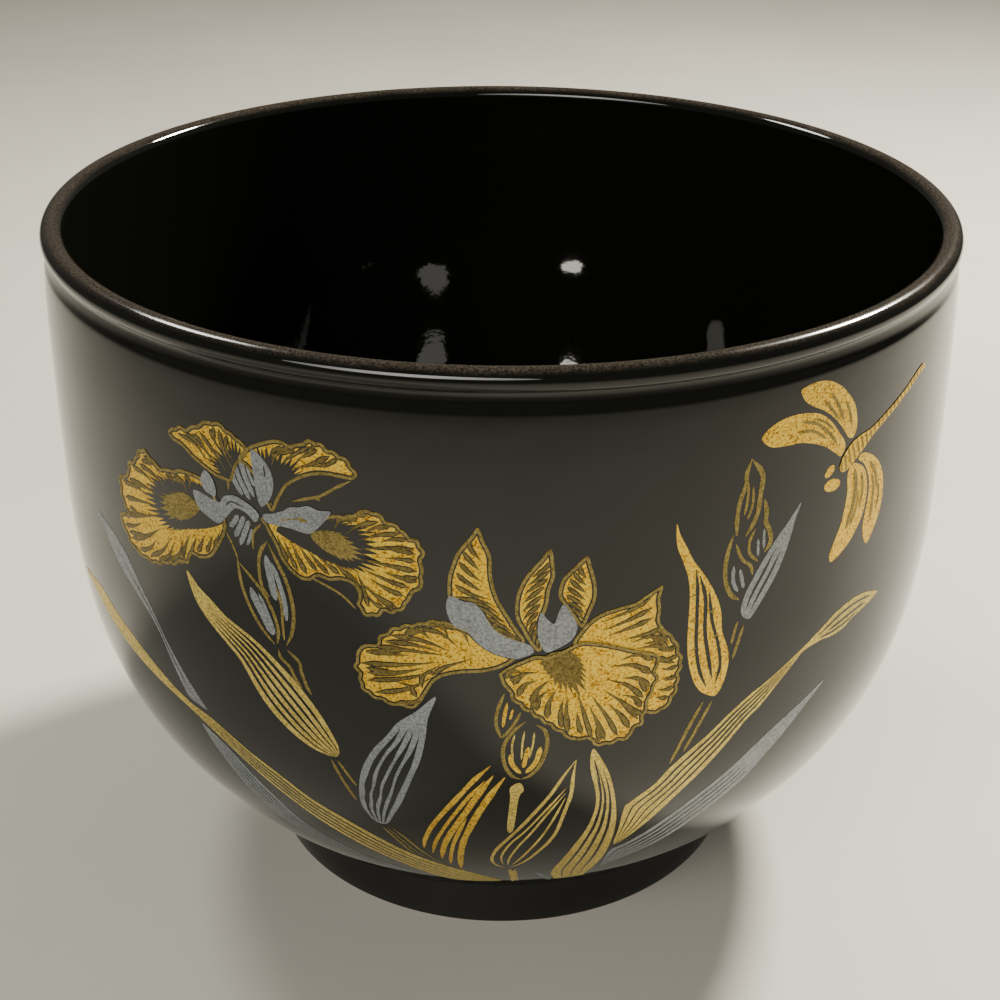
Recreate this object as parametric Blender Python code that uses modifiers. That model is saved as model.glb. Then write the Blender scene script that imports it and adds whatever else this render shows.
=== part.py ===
"""Black glazed ceramic bowl with a gold and silver iris and dragonfly transfer.

The bowl is one fired piece on a short foot ring.  Every printed gold or silver
element is a thin solid of its own, bent round the wall and lying just off the glaze.
Design numbers are in millimetres and the finished model is in metres.
"""

import math

import bmesh
import bpy
from mathutils import Vector

# ---- driving dimensions, in millimetres ----
MM = 0.001
RIM_RADIUS = 75.0
HEIGHT = 118.5
WALL = 4.0
LIP_HALF_WIDTH = 1.9
LIP_RISE = 1.8
LIP_END_DEG = -50
FOOT_RADIUS = 43.5
FOOT_RING = 5.0
FOOT_HEIGHT = 7.5
FOOT_RECESS = 4.0
FLOOR_TOP = 9.6
EDGE_ROUND = 0.6

TURN_STEPS = 64
WALL_STEP = 7.0
CURVE_SAMPLES = 16

# ---- the transfer, drawn on a flat sheet that wraps the wall ----
SHEET_RADIUS = 75.0
SKIN_GAP = 0.3
SKIN_THICKNESS = 0.3
STRIP_WIDTH = 6.0
STRIP_HEIGHT = 9.0

# Outer side of the wall from the foot up to the lip, as (radius, height).
WALL_POINTS = [
    (44.5, 9.8), (50.2, 14.0), (59.2, 23.5), (67.4, 35.5), (72.7, 49.5),
    (75.0, 65.0), (75.4, 83.0), (75.3, 101.0), (75.0, 109.5), (74.6, 114.0),
]

FINISHES = {
    "black_glaze": ((0.006, 0.006, 0.006, 1.0), 0.08, 0.0),
    "bright_gold": ((0.87, 0.58, 0.17, 1.0), 0.32, 1.0),
    "antique_gold": ((0.42, 0.33, 0.13, 1.0), 0.45, 0.8),
    "silver": ((0.42, 0.44, 0.46, 1.0), 0.42, 0.9),
}

# Outlines are in sheet millimetres: x runs round the wall from the front, to the right,
# and y runs up the wall from its join with the foot.
LEFT_IRIS = {
    "left_iris_standard_left": ("bright_gold", [
        (-48.6, 102.7), (-46.5, 104.2), (-43.6, 105.0), (-41.4, 106.3), (-39.2, 106.8), (-37.0, 106.1),
        (-35.0, 105.1), (-35.3, 103.4), (-37.2, 102.5), (-37.6, 101.0), (-37.4, 98.8), (-38.2, 98.2),
        (-40.2, 98.8), (-42.4, 100.2), (-44.6, 101.0), (-46.8, 101.6),
    ]),
    "left_iris_standard_right": ("bright_gold", [
        (-32.6, 105.1), (-30.5, 106.1), (-28.4, 106.5), (-26.9, 106.0), (-24.8, 107.2), (-22.8, 107.1),
        (-21.3, 106.1), (-19.6, 105.6), (-18.2, 104.4), (-18.0, 102.7), (-19.4, 101.9), (-22.6, 102.4),
        (-25.2, 102.0), (-26.6, 100.6), (-28.3, 99.6), (-29.4, 97.8), (-29.6, 99.8), (-29.7, 102.5),
        (-31.0, 104.2),
    ]),
    "left_iris_fall_left": ("bright_gold", [
        (-43.6, 97.6), (-47.7, 97.3), (-50.0, 96.6), (-52.5, 97.5), (-54.2, 98.3), (-56.0, 97.6),
        (-57.0, 95.9), (-58.9, 94.6), (-59.4, 92.4), (-61.4, 91.8), (-61.9, 89.6), (-61.2, 87.0),
        (-60.4, 85.8), (-62.3, 85.1), (-62.6, 83.8), (-60.8, 81.1), (-58.8, 79.9), (-55.5, 79.5),
        (-53.4, 79.8), (-50.5, 81.1), (-48.2, 82.2), (-46.6, 82.6), (-45.6, 84.3), (-43.8, 84.3),
        (-41.4, 85.6), (-40.2, 87.4), (-38.8, 90.2), (-40.3, 90.4), (-42.4, 91.1), (-44.1, 92.4),
        (-45.0, 94.4), (-45.0, 95.5), (-43.2, 95.8),
    ]),
    "left_iris_fall_right": ("bright_gold", [
        (-31.6, 92.6), (-30.2, 89.9), (-29.3, 88.0), (-27.7, 86.2), (-26.0, 85.5), (-24.8, 86.6),
        (-21.0, 87.0), (-19.0, 86.4), (-18.4, 84.8), (-18.5, 83.2), (-17.6, 81.9), (-16.4, 81.4),
        (-15.0, 81.8), (-14.0, 82.8), (-12.2, 83.1), (-11.2, 84.4), (-9.6, 86.0), (-9.0, 87.8),
        (-9.3, 89.2), (-8.8, 92.0), (-9.6, 94.2), (-11.6, 95.2), (-13.2, 96.8), (-14.7, 97.3),
        (-15.8, 98.2), (-17.4, 98.1), (-18.8, 97.3), (-20.9, 96.6), (-22.0, 95.0), (-23.4, 92.8),
        (-25.6, 92.4), (-28.6, 92.9),
    ]),
    "left_iris_style_left": ("silver", [
        (-44.3, 95.1), (-42.5, 95.2), (-40.9, 94.8), (-39.4, 94.7), (-38.6, 95.8), (-36.8, 96.4),
        (-35.0, 95.9), (-33.6, 95.2), (-32.8, 94.2), (-33.6, 93.1), (-34.8, 94.1), (-36.6, 94.5),
        (-37.9, 93.2), (-38.6, 92.4), (-40.0, 91.2), (-42.0, 91.8), (-43.5, 92.7),
    ]),
    "left_iris_style_right": ("silver", [
        (-32.1, 94.6), (-30.4, 95.2), (-28.9, 95.9), (-27.9, 96.6), (-26.3, 97.0), (-24.9, 97.4),
        (-23.6, 97.0), (-21.8, 97.1), (-22.4, 95.9), (-23.9, 94.1), (-25.3, 93.1), (-28.0, 93.4),
        (-31.6, 93.5),
    ]),
    "left_iris_petal_small": ("silver", [
        (-41.8, 99.0), (-42.7, 97.2), (-42.0, 95.8), (-41.0, 95.4), (-40.2, 95.3), (-40.0, 96.6), (-40.6, 98.2),
    ]),
    "left_iris_petal_centre": ("silver", [
        (-33.5, 104.1), (-31.7, 103.2), (-30.5, 101.4), (-30.2, 99.4), (-30.9, 97.2), (-32.3, 95.8),
        (-33.0, 97.6), (-33.3, 100.5),
    ]),
    "left_iris_petal_hatched": ("silver", [
        (-34.6, 103.0), (-36.6, 101.6), (-36.9, 99.6), (-36.2, 98.0), (-34.6, 96.9), (-33.9, 97.8),
        (-33.9, 100.8),
    ]),
    "left_iris_petal_lower": ("silver", [
        (-36.9, 92.8), (-37.8, 91.0), (-36.0, 88.5), (-34.9, 89.4), (-34.2, 91.6), (-34.3, 93.0), (-35.6, 93.8),
    ]),
    "left_iris_pod_left": ("antique_gold", [
        (-36.4, 84.6), (-34.6, 83.2), (-32.8, 81.4), (-31.8, 79.4), (-31.2, 77.0), (-31.0, 74.6),
        (-31.9, 73.8), (-33.7, 75.4), (-35.2, 77.8), (-36.2, 80.2), (-36.7, 82.6),
    ]),
    "left_iris_pod_right": ("antique_gold", [
        (-32.0, 90.0), (-33.2, 88.0), (-33.6, 85.4), (-33.2, 82.9), (-32.0, 81.4), (-31.2, 79.6),
        (-30.7, 77.0), (-30.5, 74.6), (-29.9, 74.1), (-29.0, 75.6), (-28.4, 78.4), (-28.4, 81.2),
        (-29.3, 84.6), (-30.9, 87.8),
    ]),
    "left_iris_stem_upper": ("antique_gold", [
        (-31.3, 73.0), (-29.9, 73.2), (-28.0, 71.6), (-27.6, 70.0), (-26.2, 65.9), (-27.4, 67.0),
        (-29.0, 69.3), (-30.4, 71.0),
    ]),
    "left_iris_stem_middle": ("antique_gold", [
        (-24.6, 54.3), (-23.3, 54.5), (-22.2, 51.8), (-21.0, 49.6), (-21.4, 46.0), (-22.6, 48.8), (-23.6, 51.6),
    ]),
    "left_iris_stem_lower": ("antique_gold", [
        (-18.4, 39.7), (-16.5, 39.9), (-13.3, 34.8), (-10.0, 28.9), (-8.4, 27.0), (-11.5, 29.6),
        (-13.8, 31.2), (-16.1, 35.6),
    ]),
}

CENTRE_IRIS = {
    "centre_iris_standard_left": ("bright_gold", [
        (-1.6, 96.6), (-0.8, 94.6), (0.1, 92.4), (0.3, 89.0), (1.0, 86.0), (2.5, 83.0), (3.5, 81.0),
        (4.1, 79.7), (2.0, 80.6), (0.4, 82.2), (-0.6, 84.2), (-1.8, 85.7), (-3.0, 86.0), (-4.4, 86.5),
        (-5.5, 87.0), (-5.5, 88.8), (-5.1, 91.0), (-4.3, 93.0), (-2.8, 95.0),
    ]),
    "centre_iris_style_left": ("silver", [
        (-5.4, 86.0), (-6.0, 84.4), (-5.6, 82.4), (-4.8, 81.1), (-3.1, 80.3), (-1.7, 78.6), (0.2, 77.1),
        (3.0, 76.1), (4.6, 76.3), (6.0, 77.1), (5.4, 78.3), (3.6, 79.0), (1.5, 80.0), (0.0, 81.6),
        (-1.0, 83.6), (-2.2, 85.0), (-3.6, 85.2),
    ]),
    "centre_iris_standard_middle": ("bright_gold", [
        (8.1, 93.3), (8.6, 91.0), (8.7, 89.0), (8.0, 87.0), (7.7, 85.0), (7.0, 84.2), (6.1, 82.6),
        (6.0, 80.0), (6.5, 78.0), (5.8, 78.2), (5.0, 79.6), (4.3, 80.9), (3.6, 82.4), (3.4, 84.5),
        (3.8, 87.0), (4.9, 89.4), (6.5, 91.4),
    ]),
    "centre_iris_style_right": ("silver", [
        (7.0, 83.5), (7.8, 82.4), (8.8, 81.6), (9.3, 83.2), (10.0, 84.6), (11.0, 83.3), (11.9, 81.4),
        (11.9, 80.2), (11.2, 78.8), (9.6, 77.7), (7.8, 77.0), (7.0, 78.2), (6.5, 80.0), (6.6, 82.2),
    ]),
    "centre_iris_standard_right": ("bright_gold", [
        (13.1, 91.9), (13.8, 90.0), (14.4, 87.6), (14.5, 85.4), (13.8, 83.4), (12.8, 81.4), (12.1, 82.6),
        (11.4, 84.0), (10.4, 85.4), (9.6, 86.2), (9.4, 87.4), (9.9, 88.8), (11.4, 90.4),
    ]),
    "centre_iris_fall_left": ("bright_gold", [
        (2.6, 75.5), (-0.1, 76.6), (-2.0, 78.0), (-3.2, 79.5), (-5.0, 80.6), (-7.3, 81.7), (-10.0, 81.2),
        (-13.0, 80.3), (-15.3, 78.5), (-16.0, 77.2), (-18.5, 76.2), (-18.8, 74.7), (-19.3, 73.0),
        (-18.7, 71.5), (-18.6, 69.8), (-17.6, 68.5), (-15.9, 67.7), (-13.7, 67.1), (-11.0, 67.0),
        (-9.8, 68.1), (-8.9, 69.9), (-7.8, 71.8), (-6.5, 72.8), (-4.0, 73.5), (-1.0, 73.8), (1.6, 74.6),
    ]),
    "centre_iris_fall_right": ("bright_gold", [
        (12.5, 79.2), (13.0, 80.6), (14.3, 82.1), (16.0, 83.2), (20.0, 84.1), (21.5, 85.0), (23.8, 85.9),
        (23.7, 84.0), (24.0, 82.0), (23.8, 80.4), (24.6, 78.9), (26.0, 77.0), (26.7, 75.0), (27.4, 73.0),
        (27.6, 71.6), (26.9, 68.0), (26.3, 66.0), (25.0, 64.8), (23.2, 65.0), (23.8, 68.2), (24.6, 70.3),
        (24.3, 72.2), (24.6, 75.0), (20.2, 76.8), (16.2, 78.4),
    ]),
    "centre_iris_fall_front": ("bright_gold", [
        (6.3, 76.5), (4.6, 75.8), (3.2, 75.1), (1.5, 73.9), (1.3, 72.8), (2.3, 71.2), (2.8, 69.8),
        (3.8, 68.4), (5.3, 67.0), (7.0, 65.5), (9.0, 63.8), (10.7, 62.3), (12.3, 61.2), (14.0, 61.5),
        (15.0, 60.2), (16.7, 59.8), (18.4, 60.2), (20.3, 60.6), (20.8, 62.0), (22.0, 62.8), (22.4, 64.6),
        (23.2, 68.3), (24.0, 70.3), (23.7, 72.2), (23.9, 74.6), (20.0, 76.2), (16.0, 77.7), (12.6, 78.3),
        (10.4, 77.3), (8.2, 76.3),
    ]),
    "centre_iris_pod_upper": ("antique_gold", [
        (2.1, 70.2), (1.1, 67.6), (0.8, 65.0), (1.5, 62.2), (2.6, 63.6), (3.6, 65.2), (4.4, 66.9), (3.2, 68.3),
    ]),
    "centre_iris_pod_lower": ("antique_gold", [
        (4.9, 65.4), (3.9, 64.2), (2.8, 62.6), (1.9, 61.0), (1.6, 59.6), (1.9, 57.2), (2.8, 55.4),
        (4.2, 53.9), (5.7, 54.4), (7.3, 56.4), (8.3, 59.6), (7.8, 63.6), (6.4, 64.8),
    ]),
    "centre_iris_stem": ("antique_gold", [
        (4.2, 53.2), (3.0, 52.4), (2.8, 51.2), (2.9, 49.6), (2.5, 41.7), (3.5, 41.7), (4.2, 49.6),
        (4.9, 51.4), (4.8, 52.5),
    ]),
    "centre_iris_stem_foot": ("antique_gold", [
        (2.3, 25.6), (4.1, 25.6), (4.7, 21.0), (5.3, 15.9), (3.7, 15.9), (3.0, 21.0),
    ]),
}

LEAVES = {
    "left_gold_leaf": ("antique_gold", [
        (-47.2, 81.2), (-45.0, 79.2), (-42.5, 77.6), (-40.0, 75.8), (-35.0, 73.3), (-30.0, 69.2),
        (-26.7, 65.2), (-24.9, 62.2), (-23.3, 58.6), (-22.9, 56.6), (-23.4, 55.3), (-24.7, 55.1),
        (-26.8, 55.6), (-29.0, 56.8), (-31.8, 59.1), (-35.0, 63.0), (-38.0, 68.6), (-40.2, 70.9),
        (-42.6, 73.0), (-45.0, 75.4), (-46.4, 77.8),
    ]),
    "far_left_silver_blade_tip": ("silver", [
        (-71.0, 81.6), (-68.0, 81.1), (-65.0, 79.9), (-62.4, 78.0), (-60.0, 75.2), (-57.9, 72.4),
        (-56.0, 69.8), (-54.4, 66.9), (-52.0, 63.0), (-50.0, 60.0), (-48.0, 57.2), (-47.3, 56.0),
        (-49.3, 56.3), (-51.2, 57.0), (-52.6, 60.0), (-54.0, 63.4), (-55.4, 66.8), (-57.2, 69.2),
        (-59.2, 70.9), (-61.8, 72.9), (-64.8, 75.0), (-67.4, 77.6),
    ]),
    "far_left_silver_blade_base": ("silver", [
        (-49.6, 52.0), (-47.2, 50.8), (-45.2, 49.2), (-43.0, 46.6), (-40.6, 43.2), (-38.4, 40.0),
        (-36.4, 36.4), (-34.0, 32.6), (-30.5, 29.0), (-26.5, 25.4), (-22.0, 22.0), (-17.5, 19.0),
        (-20.0, 18.8), (-25.0, 20.6), (-30.0, 23.0), (-35.0, 26.4), (-39.0, 30.0), (-41.6, 33.6),
        (-43.2, 37.0), (-45.0, 40.2), (-47.0, 45.0), (-48.6, 48.8),
    ]),
    "far_left_gold_blade": ("antique_gold", [
        (-84.0, 65.2), (-79.0, 66.0), (-74.0, 66.2), (-69.0, 64.0), (-64.5, 62.2), (-60.0, 60.0),
        (-55.0, 57.4), (-51.0, 55.6), (-46.8, 54.5), (-43.0, 52.4), (-40.0, 50.4), (-35.0, 47.2),
        (-30.0, 43.0), (-25.0, 39.7), (-20.0, 35.7), (-15.0, 31.2), (-11.7, 28.5), (-8.3, 25.9),
        (-6.0, 24.2), (-1.7, 20.6), (1.6, 17.0), (-2.0, 15.8), (-8.4, 15.7), (-11.7, 18.0),
        (-15.0, 21.3), (-20.0, 26.6), (-25.0, 31.7), (-30.0, 36.5), (-35.0, 41.3), (-40.0, 45.9),
        (-44.6, 49.9), (-50.2, 53.5), (-55.0, 55.4), (-60.0, 56.9), (-66.0, 58.8), (-72.0, 60.8),
        (-78.0, 63.4),
    ]),
    "silver_bract": ("silver", [
        (-7.7, 69.2), (-10.7, 66.2), (-13.3, 64.0), (-15.3, 61.0), (-17.4, 58.2), (-19.4, 54.2),
        (-20.5, 50.0), (-20.9, 45.8), (-20.3, 43.0), (-19.0, 40.8), (-17.2, 40.8), (-15.6, 43.8),
        (-13.9, 47.4), (-12.0, 52.6), (-10.3, 57.3), (-9.4, 61.6), (-8.9, 65.2),
    ]),
    "striped_gold_leaf": ("bright_gold", [
        (0.0, 56.9), (-2.2, 53.9), (-5.2, 49.6), (-7.6, 45.4), (-9.6, 41.4), (-11.3, 37.6), (-12.0, 34.3),
        (-10.6, 32.4), (-9.2, 29.9), (-7.9, 27.7), (-6.4, 25.4), (-5.6, 25.5), (-5.5, 30.0), (-4.9, 35.0),
        (-3.7, 40.0), (-2.0, 45.0), (0.3, 50.0), (2.1, 54.4),
    ]),
    "front_leaf_left": ("antique_gold", [
        (12.5, 57.6), (12.4, 54.0), (12.3, 50.0), (11.8, 45.0), (11.0, 40.5), (9.8, 37.0), (8.3, 34.2),
        (6.7, 31.0), (4.9, 28.0), (3.4, 26.6), (1.9, 26.4), (0.3, 28.0), (-0.5, 30.7), (0.2, 34.7),
        (2.0, 38.0), (4.6, 41.6), (7.0, 46.0), (9.0, 50.4), (10.8, 54.4),
    ]),
    "front_leaf_right": ("antique_gold", [
        (15.0, 59.2), (14.7, 57.2), (15.0, 54.4), (15.8, 51.0), (16.3, 48.0), (16.2, 44.5), (15.4, 40.0),
        (14.0, 35.3), (12.7, 30.0), (11.7, 25.0), (11.6, 21.0), (12.6, 18.0), (13.4, 15.8), (19.2, 15.8),
        (19.4, 18.4), (19.9, 21.8), (20.4, 26.7), (20.6, 33.3), (20.5, 40.0), (19.9, 45.0), (18.9, 50.0),
        (17.6, 54.4), (15.9, 58.0),
    ]),
    "silver_shoot": ("silver", [
        (8.3, 22.8), (9.4, 22.2), (10.6, 20.4), (11.6, 18.0), (12.4, 15.9), (11.4, 15.9), (10.4, 18.0),
        (9.2, 20.4),
    ]),
    "right_gold_blade": ("antique_gold", [
        (67.6, 70.8), (65.0, 72.1), (62.3, 72.8), (59.3, 72.8), (56.3, 72.1), (54.0, 71.0), (51.3, 69.5),
        (47.3, 67.3), (43.3, 65.0), (40.0, 63.3), (36.7, 60.9), (33.3, 57.8), (30.0, 55.0), (27.6, 52.6),
        (26.3, 50.6), (25.0, 49.0), (22.0, 46.2), (21.2, 44.6), (21.2, 38.3), (21.2, 34.4), (21.8, 33.6),
        (23.7, 35.8), (26.7, 40.3), (30.2, 45.7), (33.4, 49.8), (36.7, 54.2), (40.0, 58.4), (42.4, 60.4),
        (45.0, 63.3), (48.0, 66.3), (49.8, 67.8), (53.3, 68.3), (56.0, 68.0), (58.8, 68.3), (60.8, 69.2),
        (63.4, 69.7),
    ]),
    "right_silver_blade": ("silver", [
        (56.3, 59.7), (53.3, 58.3), (50.0, 56.6), (46.7, 54.7), (43.3, 52.2), (40.0, 49.0), (36.7, 46.0),
        (33.3, 42.9), (30.0, 39.6), (26.5, 35.8), (23.4, 33.0), (21.3, 31.0), (21.2, 26.0), (21.6, 22.4),
        (23.4, 23.8), (26.7, 26.7), (30.0, 29.4), (33.2, 32.8), (36.0, 36.2), (39.0, 39.4), (41.8, 42.4),
        (43.8, 44.6), (46.0, 48.0), (48.4, 51.0), (50.2, 53.2), (52.6, 56.0),
    ]),
}

BUDS = {
    "striped_bud": ("bright_gold", [
        (25.6, 95.3), (25.8, 92.0), (26.8, 89.3), (27.8, 86.4), (28.2, 83.0), (28.2, 79.0), (28.3, 75.0),
        (28.8, 71.7), (29.8, 68.6), (31.1, 66.6), (33.0, 65.3), (33.9, 65.4), (34.8, 67.3), (35.3, 70.7),
        (34.9, 73.3), (33.8, 76.3), (33.3, 80.0), (32.1, 83.2), (30.3, 86.4), (28.5, 89.0), (27.3, 91.4),
        (26.2, 93.6),
    ]),
    "striped_bud_stem": ("antique_gold", [
        (31.6, 64.6), (33.3, 64.5), (31.4, 59.4), (29.4, 55.4), (27.4, 53.4), (29.6, 59.2),
    ]),
    "tall_bud": ("antique_gold", [
        (36.6, 103.2), (36.0, 101.0), (35.8, 99.0), (35.1, 96.8), (34.8, 94.0), (34.6, 92.2),
        (33.9, 91.0), (33.6, 88.4), (33.3, 86.0), (34.0, 83.4), (35.2, 81.5), (36.2, 80.9), (36.7, 82.2),
        (37.9, 84.5), (39.4, 87.1), (41.0, 89.2), (40.8, 90.9), (39.9, 93.2), (39.5, 95.6), (38.7, 97.6),
        (38.8, 99.8), (38.3, 101.2), (37.6, 102.6),
    ]),
    "tall_bud_silver_leaf": ("silver", [
        (46.0, 94.0), (44.0, 91.7), (41.8, 89.2), (40.0, 86.7), (38.5, 84.2), (37.3, 81.9), (36.7, 79.8),
        (36.9, 78.3), (37.7, 77.4), (38.5, 77.4), (39.6, 78.8), (41.1, 81.1), (42.6, 83.6), (43.8, 86.6),
        (44.6, 89.2), (45.2, 91.6),
    ]),
    "tall_bud_stem": ("antique_gold", [
        (36.3, 77.4), (37.5, 76.5), (36.8, 73.6), (35.9, 70.8), (35.7, 72.4), (35.6, 74.0),
    ]),
}

DRAGONFLY = {
    "dragonfly_body": ("bright_gold", [
        (53.3, 97.4), (54.3, 99.6), (56.0, 100.8), (58.0, 101.3), (61.0, 102.0), (65.0, 103.3),
        (68.7, 104.5), (71.3, 105.7), (73.3, 106.5), (75.2, 106.7), (75.5, 105.9), (73.3, 105.0),
        (70.0, 103.5), (66.7, 102.3), (64.3, 101.6), (61.7, 100.3), (59.3, 99.0), (57.3, 97.9),
        (55.7, 96.8), (54.3, 96.4),
    ]),
    "dragonfly_wing_upper_rear": ("bright_gold", [
        (44.6, 111.4), (46.8, 112.0), (49.0, 111.6), (51.5, 110.4), (53.8, 108.7), (55.5, 106.4),
        (56.4, 104.0), (56.3, 102.2), (55.6, 101.4), (54.5, 101.8), (53.0, 104.0), (51.2, 106.2),
        (49.0, 107.9), (46.8, 109.4),
    ]),
    "dragonfly_wing_upper_front": ("bright_gold", [
        (38.2, 105.8), (39.5, 106.9), (42.0, 107.8), (44.5, 107.9), (46.8, 107.3), (49.2, 106.0),
        (51.2, 104.3), (52.7, 102.5), (53.5, 101.0), (53.6, 100.0), (52.9, 99.2), (51.5, 100.4),
        (49.0, 102.0), (46.5, 103.4), (44.0, 103.8), (41.5, 103.8), (39.6, 104.7),
    ]),
    "dragonfly_wing_lower_front": ("bright_gold", [
        (56.9, 96.7), (55.4, 95.7), (55.4, 94.0), (55.5, 91.7), (55.2, 89.0), (54.3, 86.3), (53.2, 84.0),
        (53.7, 81.9), (56.0, 82.9), (58.0, 84.9), (59.6, 87.3), (60.4, 90.3), (60.0, 93.3), (58.9, 95.3),
    ]),
    "dragonfly_wing_lower_rear": ("bright_gold", [
        (58.3, 97.6), (60.0, 97.0), (62.3, 95.3), (64.0, 93.3), (65.0, 90.7), (64.8, 87.3), (63.7, 84.0),
        (62.5, 81.9), (61.2, 83.2), (60.7, 86.0), (61.2, 88.0), (61.3, 90.3), (60.9, 93.4), (59.7, 95.7),
    ]),
}

# Eyes as (centre x, centre y, half length, half width, turn in degrees).
EYES = {
    "dragonfly_eye_upper": (51.3, 97.3, 1.1, 0.75, 40.0),
    "dragonfly_eye_lower": (52.1, 94.9, 1.7, 1.0, -8.0),
}
EYE_SIDES = 12


# ---- curves ----
def spline_through(points, samples):
    """A smooth curve through the points (Catmull-Rom), with this many samples to each span."""
    ends = [tuple(2 * a - b for a, b in zip(points[0], points[1]))]
    ends += points
    ends.append(tuple(2 * a - b for a, b in zip(points[-1], points[-2])))
    curve = []
    for before, start, stop, after in zip(ends, ends[1:], ends[2:], ends[3:]):
        for step in range(samples):
            t = step / samples
            curve.append(tuple(
                0.5 * (2 * p + (q - o) * t + (2 * o - 5 * p + 4 * q - s) * t**2 + (3 * p - o - 3 * q + s) * t**3)
                for o, p, q, s in zip(before, start, stop, after)
            ))
    curve.append(tuple(points[-1]))
    return curve


def arc(centre, half_width, half_height, start_deg, end_deg, count):
    """Points along part of an ellipse, both ends included."""
    turns = [math.radians(start_deg + (end_deg - start_deg) * i / (count - 1)) for i in range(count)]
    return [(centre[0] + half_width * math.cos(t), centre[1] + half_height * math.sin(t)) for t in turns]


class WallCurve:
    """The wall's outer side, read by the distance up it from the foot."""

    def __init__(self):
        self.points = spline_through(WALL_POINTS, CURVE_SAMPLES)
        self.lengths = [0.0]
        for a, b in zip(self.points, self.points[1:]):
            self.lengths.append(self.lengths[-1] + math.dist(a, b))
        self.total = self.lengths[-1]

    def at(self, distance):
        """The (radius, height) at this distance, and the outward normal there."""
        last = len(self.points) - 2
        i = next((k for k in range(last) if self.lengths[k + 1] >= distance), last)
        a, b = self.points[i], self.points[i + 1]
        share = (distance - self.lengths[i]) / (self.lengths[i + 1] - self.lengths[i])
        along = Vector((b[0] - a[0], b[1] - a[1])).normalized()
        place = Vector((a[0] + (b[0] - a[0]) * share, a[1] + (b[1] - a[1]) * share))
        return place, Vector((along.y, -along.x))


# ---- scene helpers ----
def clear_scene():
    for item in list(bpy.data.objects):
        bpy.data.objects.remove(item)


def make_collection(name):
    collection = bpy.data.collections.new(name)
    bpy.context.scene.collection.children.link(collection)
    return collection


def make_material(name, finish):
    colour, roughness, metallic = FINISHES[finish]
    material = bpy.data.materials.new(name)
    material.use_nodes = True
    shader = material.node_tree.nodes["Principled BSDF"]
    shader.inputs["Base Color"].default_value = colour
    shader.inputs["Roughness"].default_value = roughness
    shader.inputs["Metallic"].default_value = metallic
    return material


# ---- the bowl ----
def bowl_profile(wall):
    """The bowl's half section as (radius, height): inside, lip, outside, foot and underside."""
    rim_height = HEIGHT - LIP_RISE
    inside = [(0.0, FLOOR_TOP), (34.0, FLOOR_TOP)]
    inside += [(43.5, 12.6), (55.8, 26.0), (64.0, 37.4), (68.9, 50.6), (71.0, 65.4)]
    inside.append((RIM_RADIUS - WALL + 0.4, 83.0))
    lip = arc((RIM_RADIUS - LIP_HALF_WIDTH, rim_height), LIP_HALF_WIDTH, LIP_RISE, 180, LIP_END_DEG, 9)
    rows = math.ceil(wall.total / WALL_STEP)
    outside = [tuple(wall.at(wall.total * (1 - i / rows))[0]) for i in range(rows + 1)]
    foot = [(FOOT_RADIUS - 0.5, FOOT_HEIGHT), (FOOT_RADIUS, EDGE_ROUND), (FOOT_RADIUS - EDGE_ROUND, 0.0)]
    ring_inside = FOOT_RADIUS - FOOT_RING
    foot += [(ring_inside + EDGE_ROUND, 0.0), (ring_inside, EDGE_ROUND), (ring_inside - 1.0, FOOT_RECESS)]
    foot.append((0.0, FOOT_RECESS))
    return inside + lip + outside + foot


def build_bowl(collection, wall):
    profile = bowl_profile(wall)
    mesh = bpy.data.meshes.new("bowl_body")
    rows = [(radius * MM, 0.0, height * MM) for radius, height in profile]
    mesh.from_pydata(rows, [(i, i + 1) for i in range(len(rows) - 1)], [])
    bowl = bpy.data.objects.new("bowl_body", mesh)
    collection.objects.link(bowl)
    turn = bowl.modifiers.new("Turn", "SCREW")
    turn.axis = "Z"
    turn.angle = math.tau
    turn.steps = TURN_STEPS
    turn.render_steps = TURN_STEPS
    turn.use_merge_vertices = True
    turn.merge_threshold = 0.00001
    turn.use_smooth_shade = True
    mesh.materials.append(make_material("bowl_body_glaze", "black_glaze"))
    return bowl


# ---- the transfer ----
def flat_outline(name, outline):
    """A flat plate with this outline, standing on the sheet's plane, as a closed mesh in millimetres."""
    curve = bpy.data.curves.new(name, "CURVE")
    curve.dimensions = "2D"
    curve.fill_mode = "BOTH"
    curve.extrude = SKIN_THICKNESS / 2
    spline = curve.splines.new("POLY")
    spline.points.add(len(outline) - 1)
    for point, (x, y) in zip(spline.points, outline):
        point.co = (x, y, 0.0, 1.0)
    spline.use_cyclic_u = True
    shape = bpy.data.objects.new(name, curve)
    bpy.context.scene.collection.objects.link(shape)
    evaluated = shape.evaluated_get(bpy.context.evaluated_depsgraph_get())
    mesh = bpy.data.meshes.new_from_object(evaluated)
    bpy.data.objects.remove(shape)
    bpy.data.curves.remove(curve)
    return mesh


def cut_into_strips(solid, axis, spacing):
    """Cuts the plate across at even spacing, so that it can bend round the wall."""
    places = [v.co[axis] for v in solid.verts]
    low, high = min(places), max(places)
    count = max(1, round((high - low) / spacing))
    normal = Vector((1, 0, 0)) if axis == 0 else Vector((0, 1, 0))
    for i in range(1, count):
        point = normal * (low + (high - low) * i / count)
        everything = solid.verts[:] + solid.edges[:] + solid.faces[:]
        bmesh.ops.bisect_plane(solid, geom=everything, plane_co=point, plane_no=normal, dist=1e-5)


def wrap_round_wall(solid, wall):
    """Moves each point from the flat sheet to its place just off the wall."""
    lift = SKIN_GAP + SKIN_THICKNESS / 2
    for vert in solid.verts:
        place, normal = wall.at(vert.co.y)
        radius = place.x + normal.x * (lift + vert.co.z)
        height = place.y + normal.y * (lift + vert.co.z)
        turn = vert.co.x / SHEET_RADIUS
        vert.co = Vector((radius * math.sin(turn), -radius * math.cos(turn), height)) * MM


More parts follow.
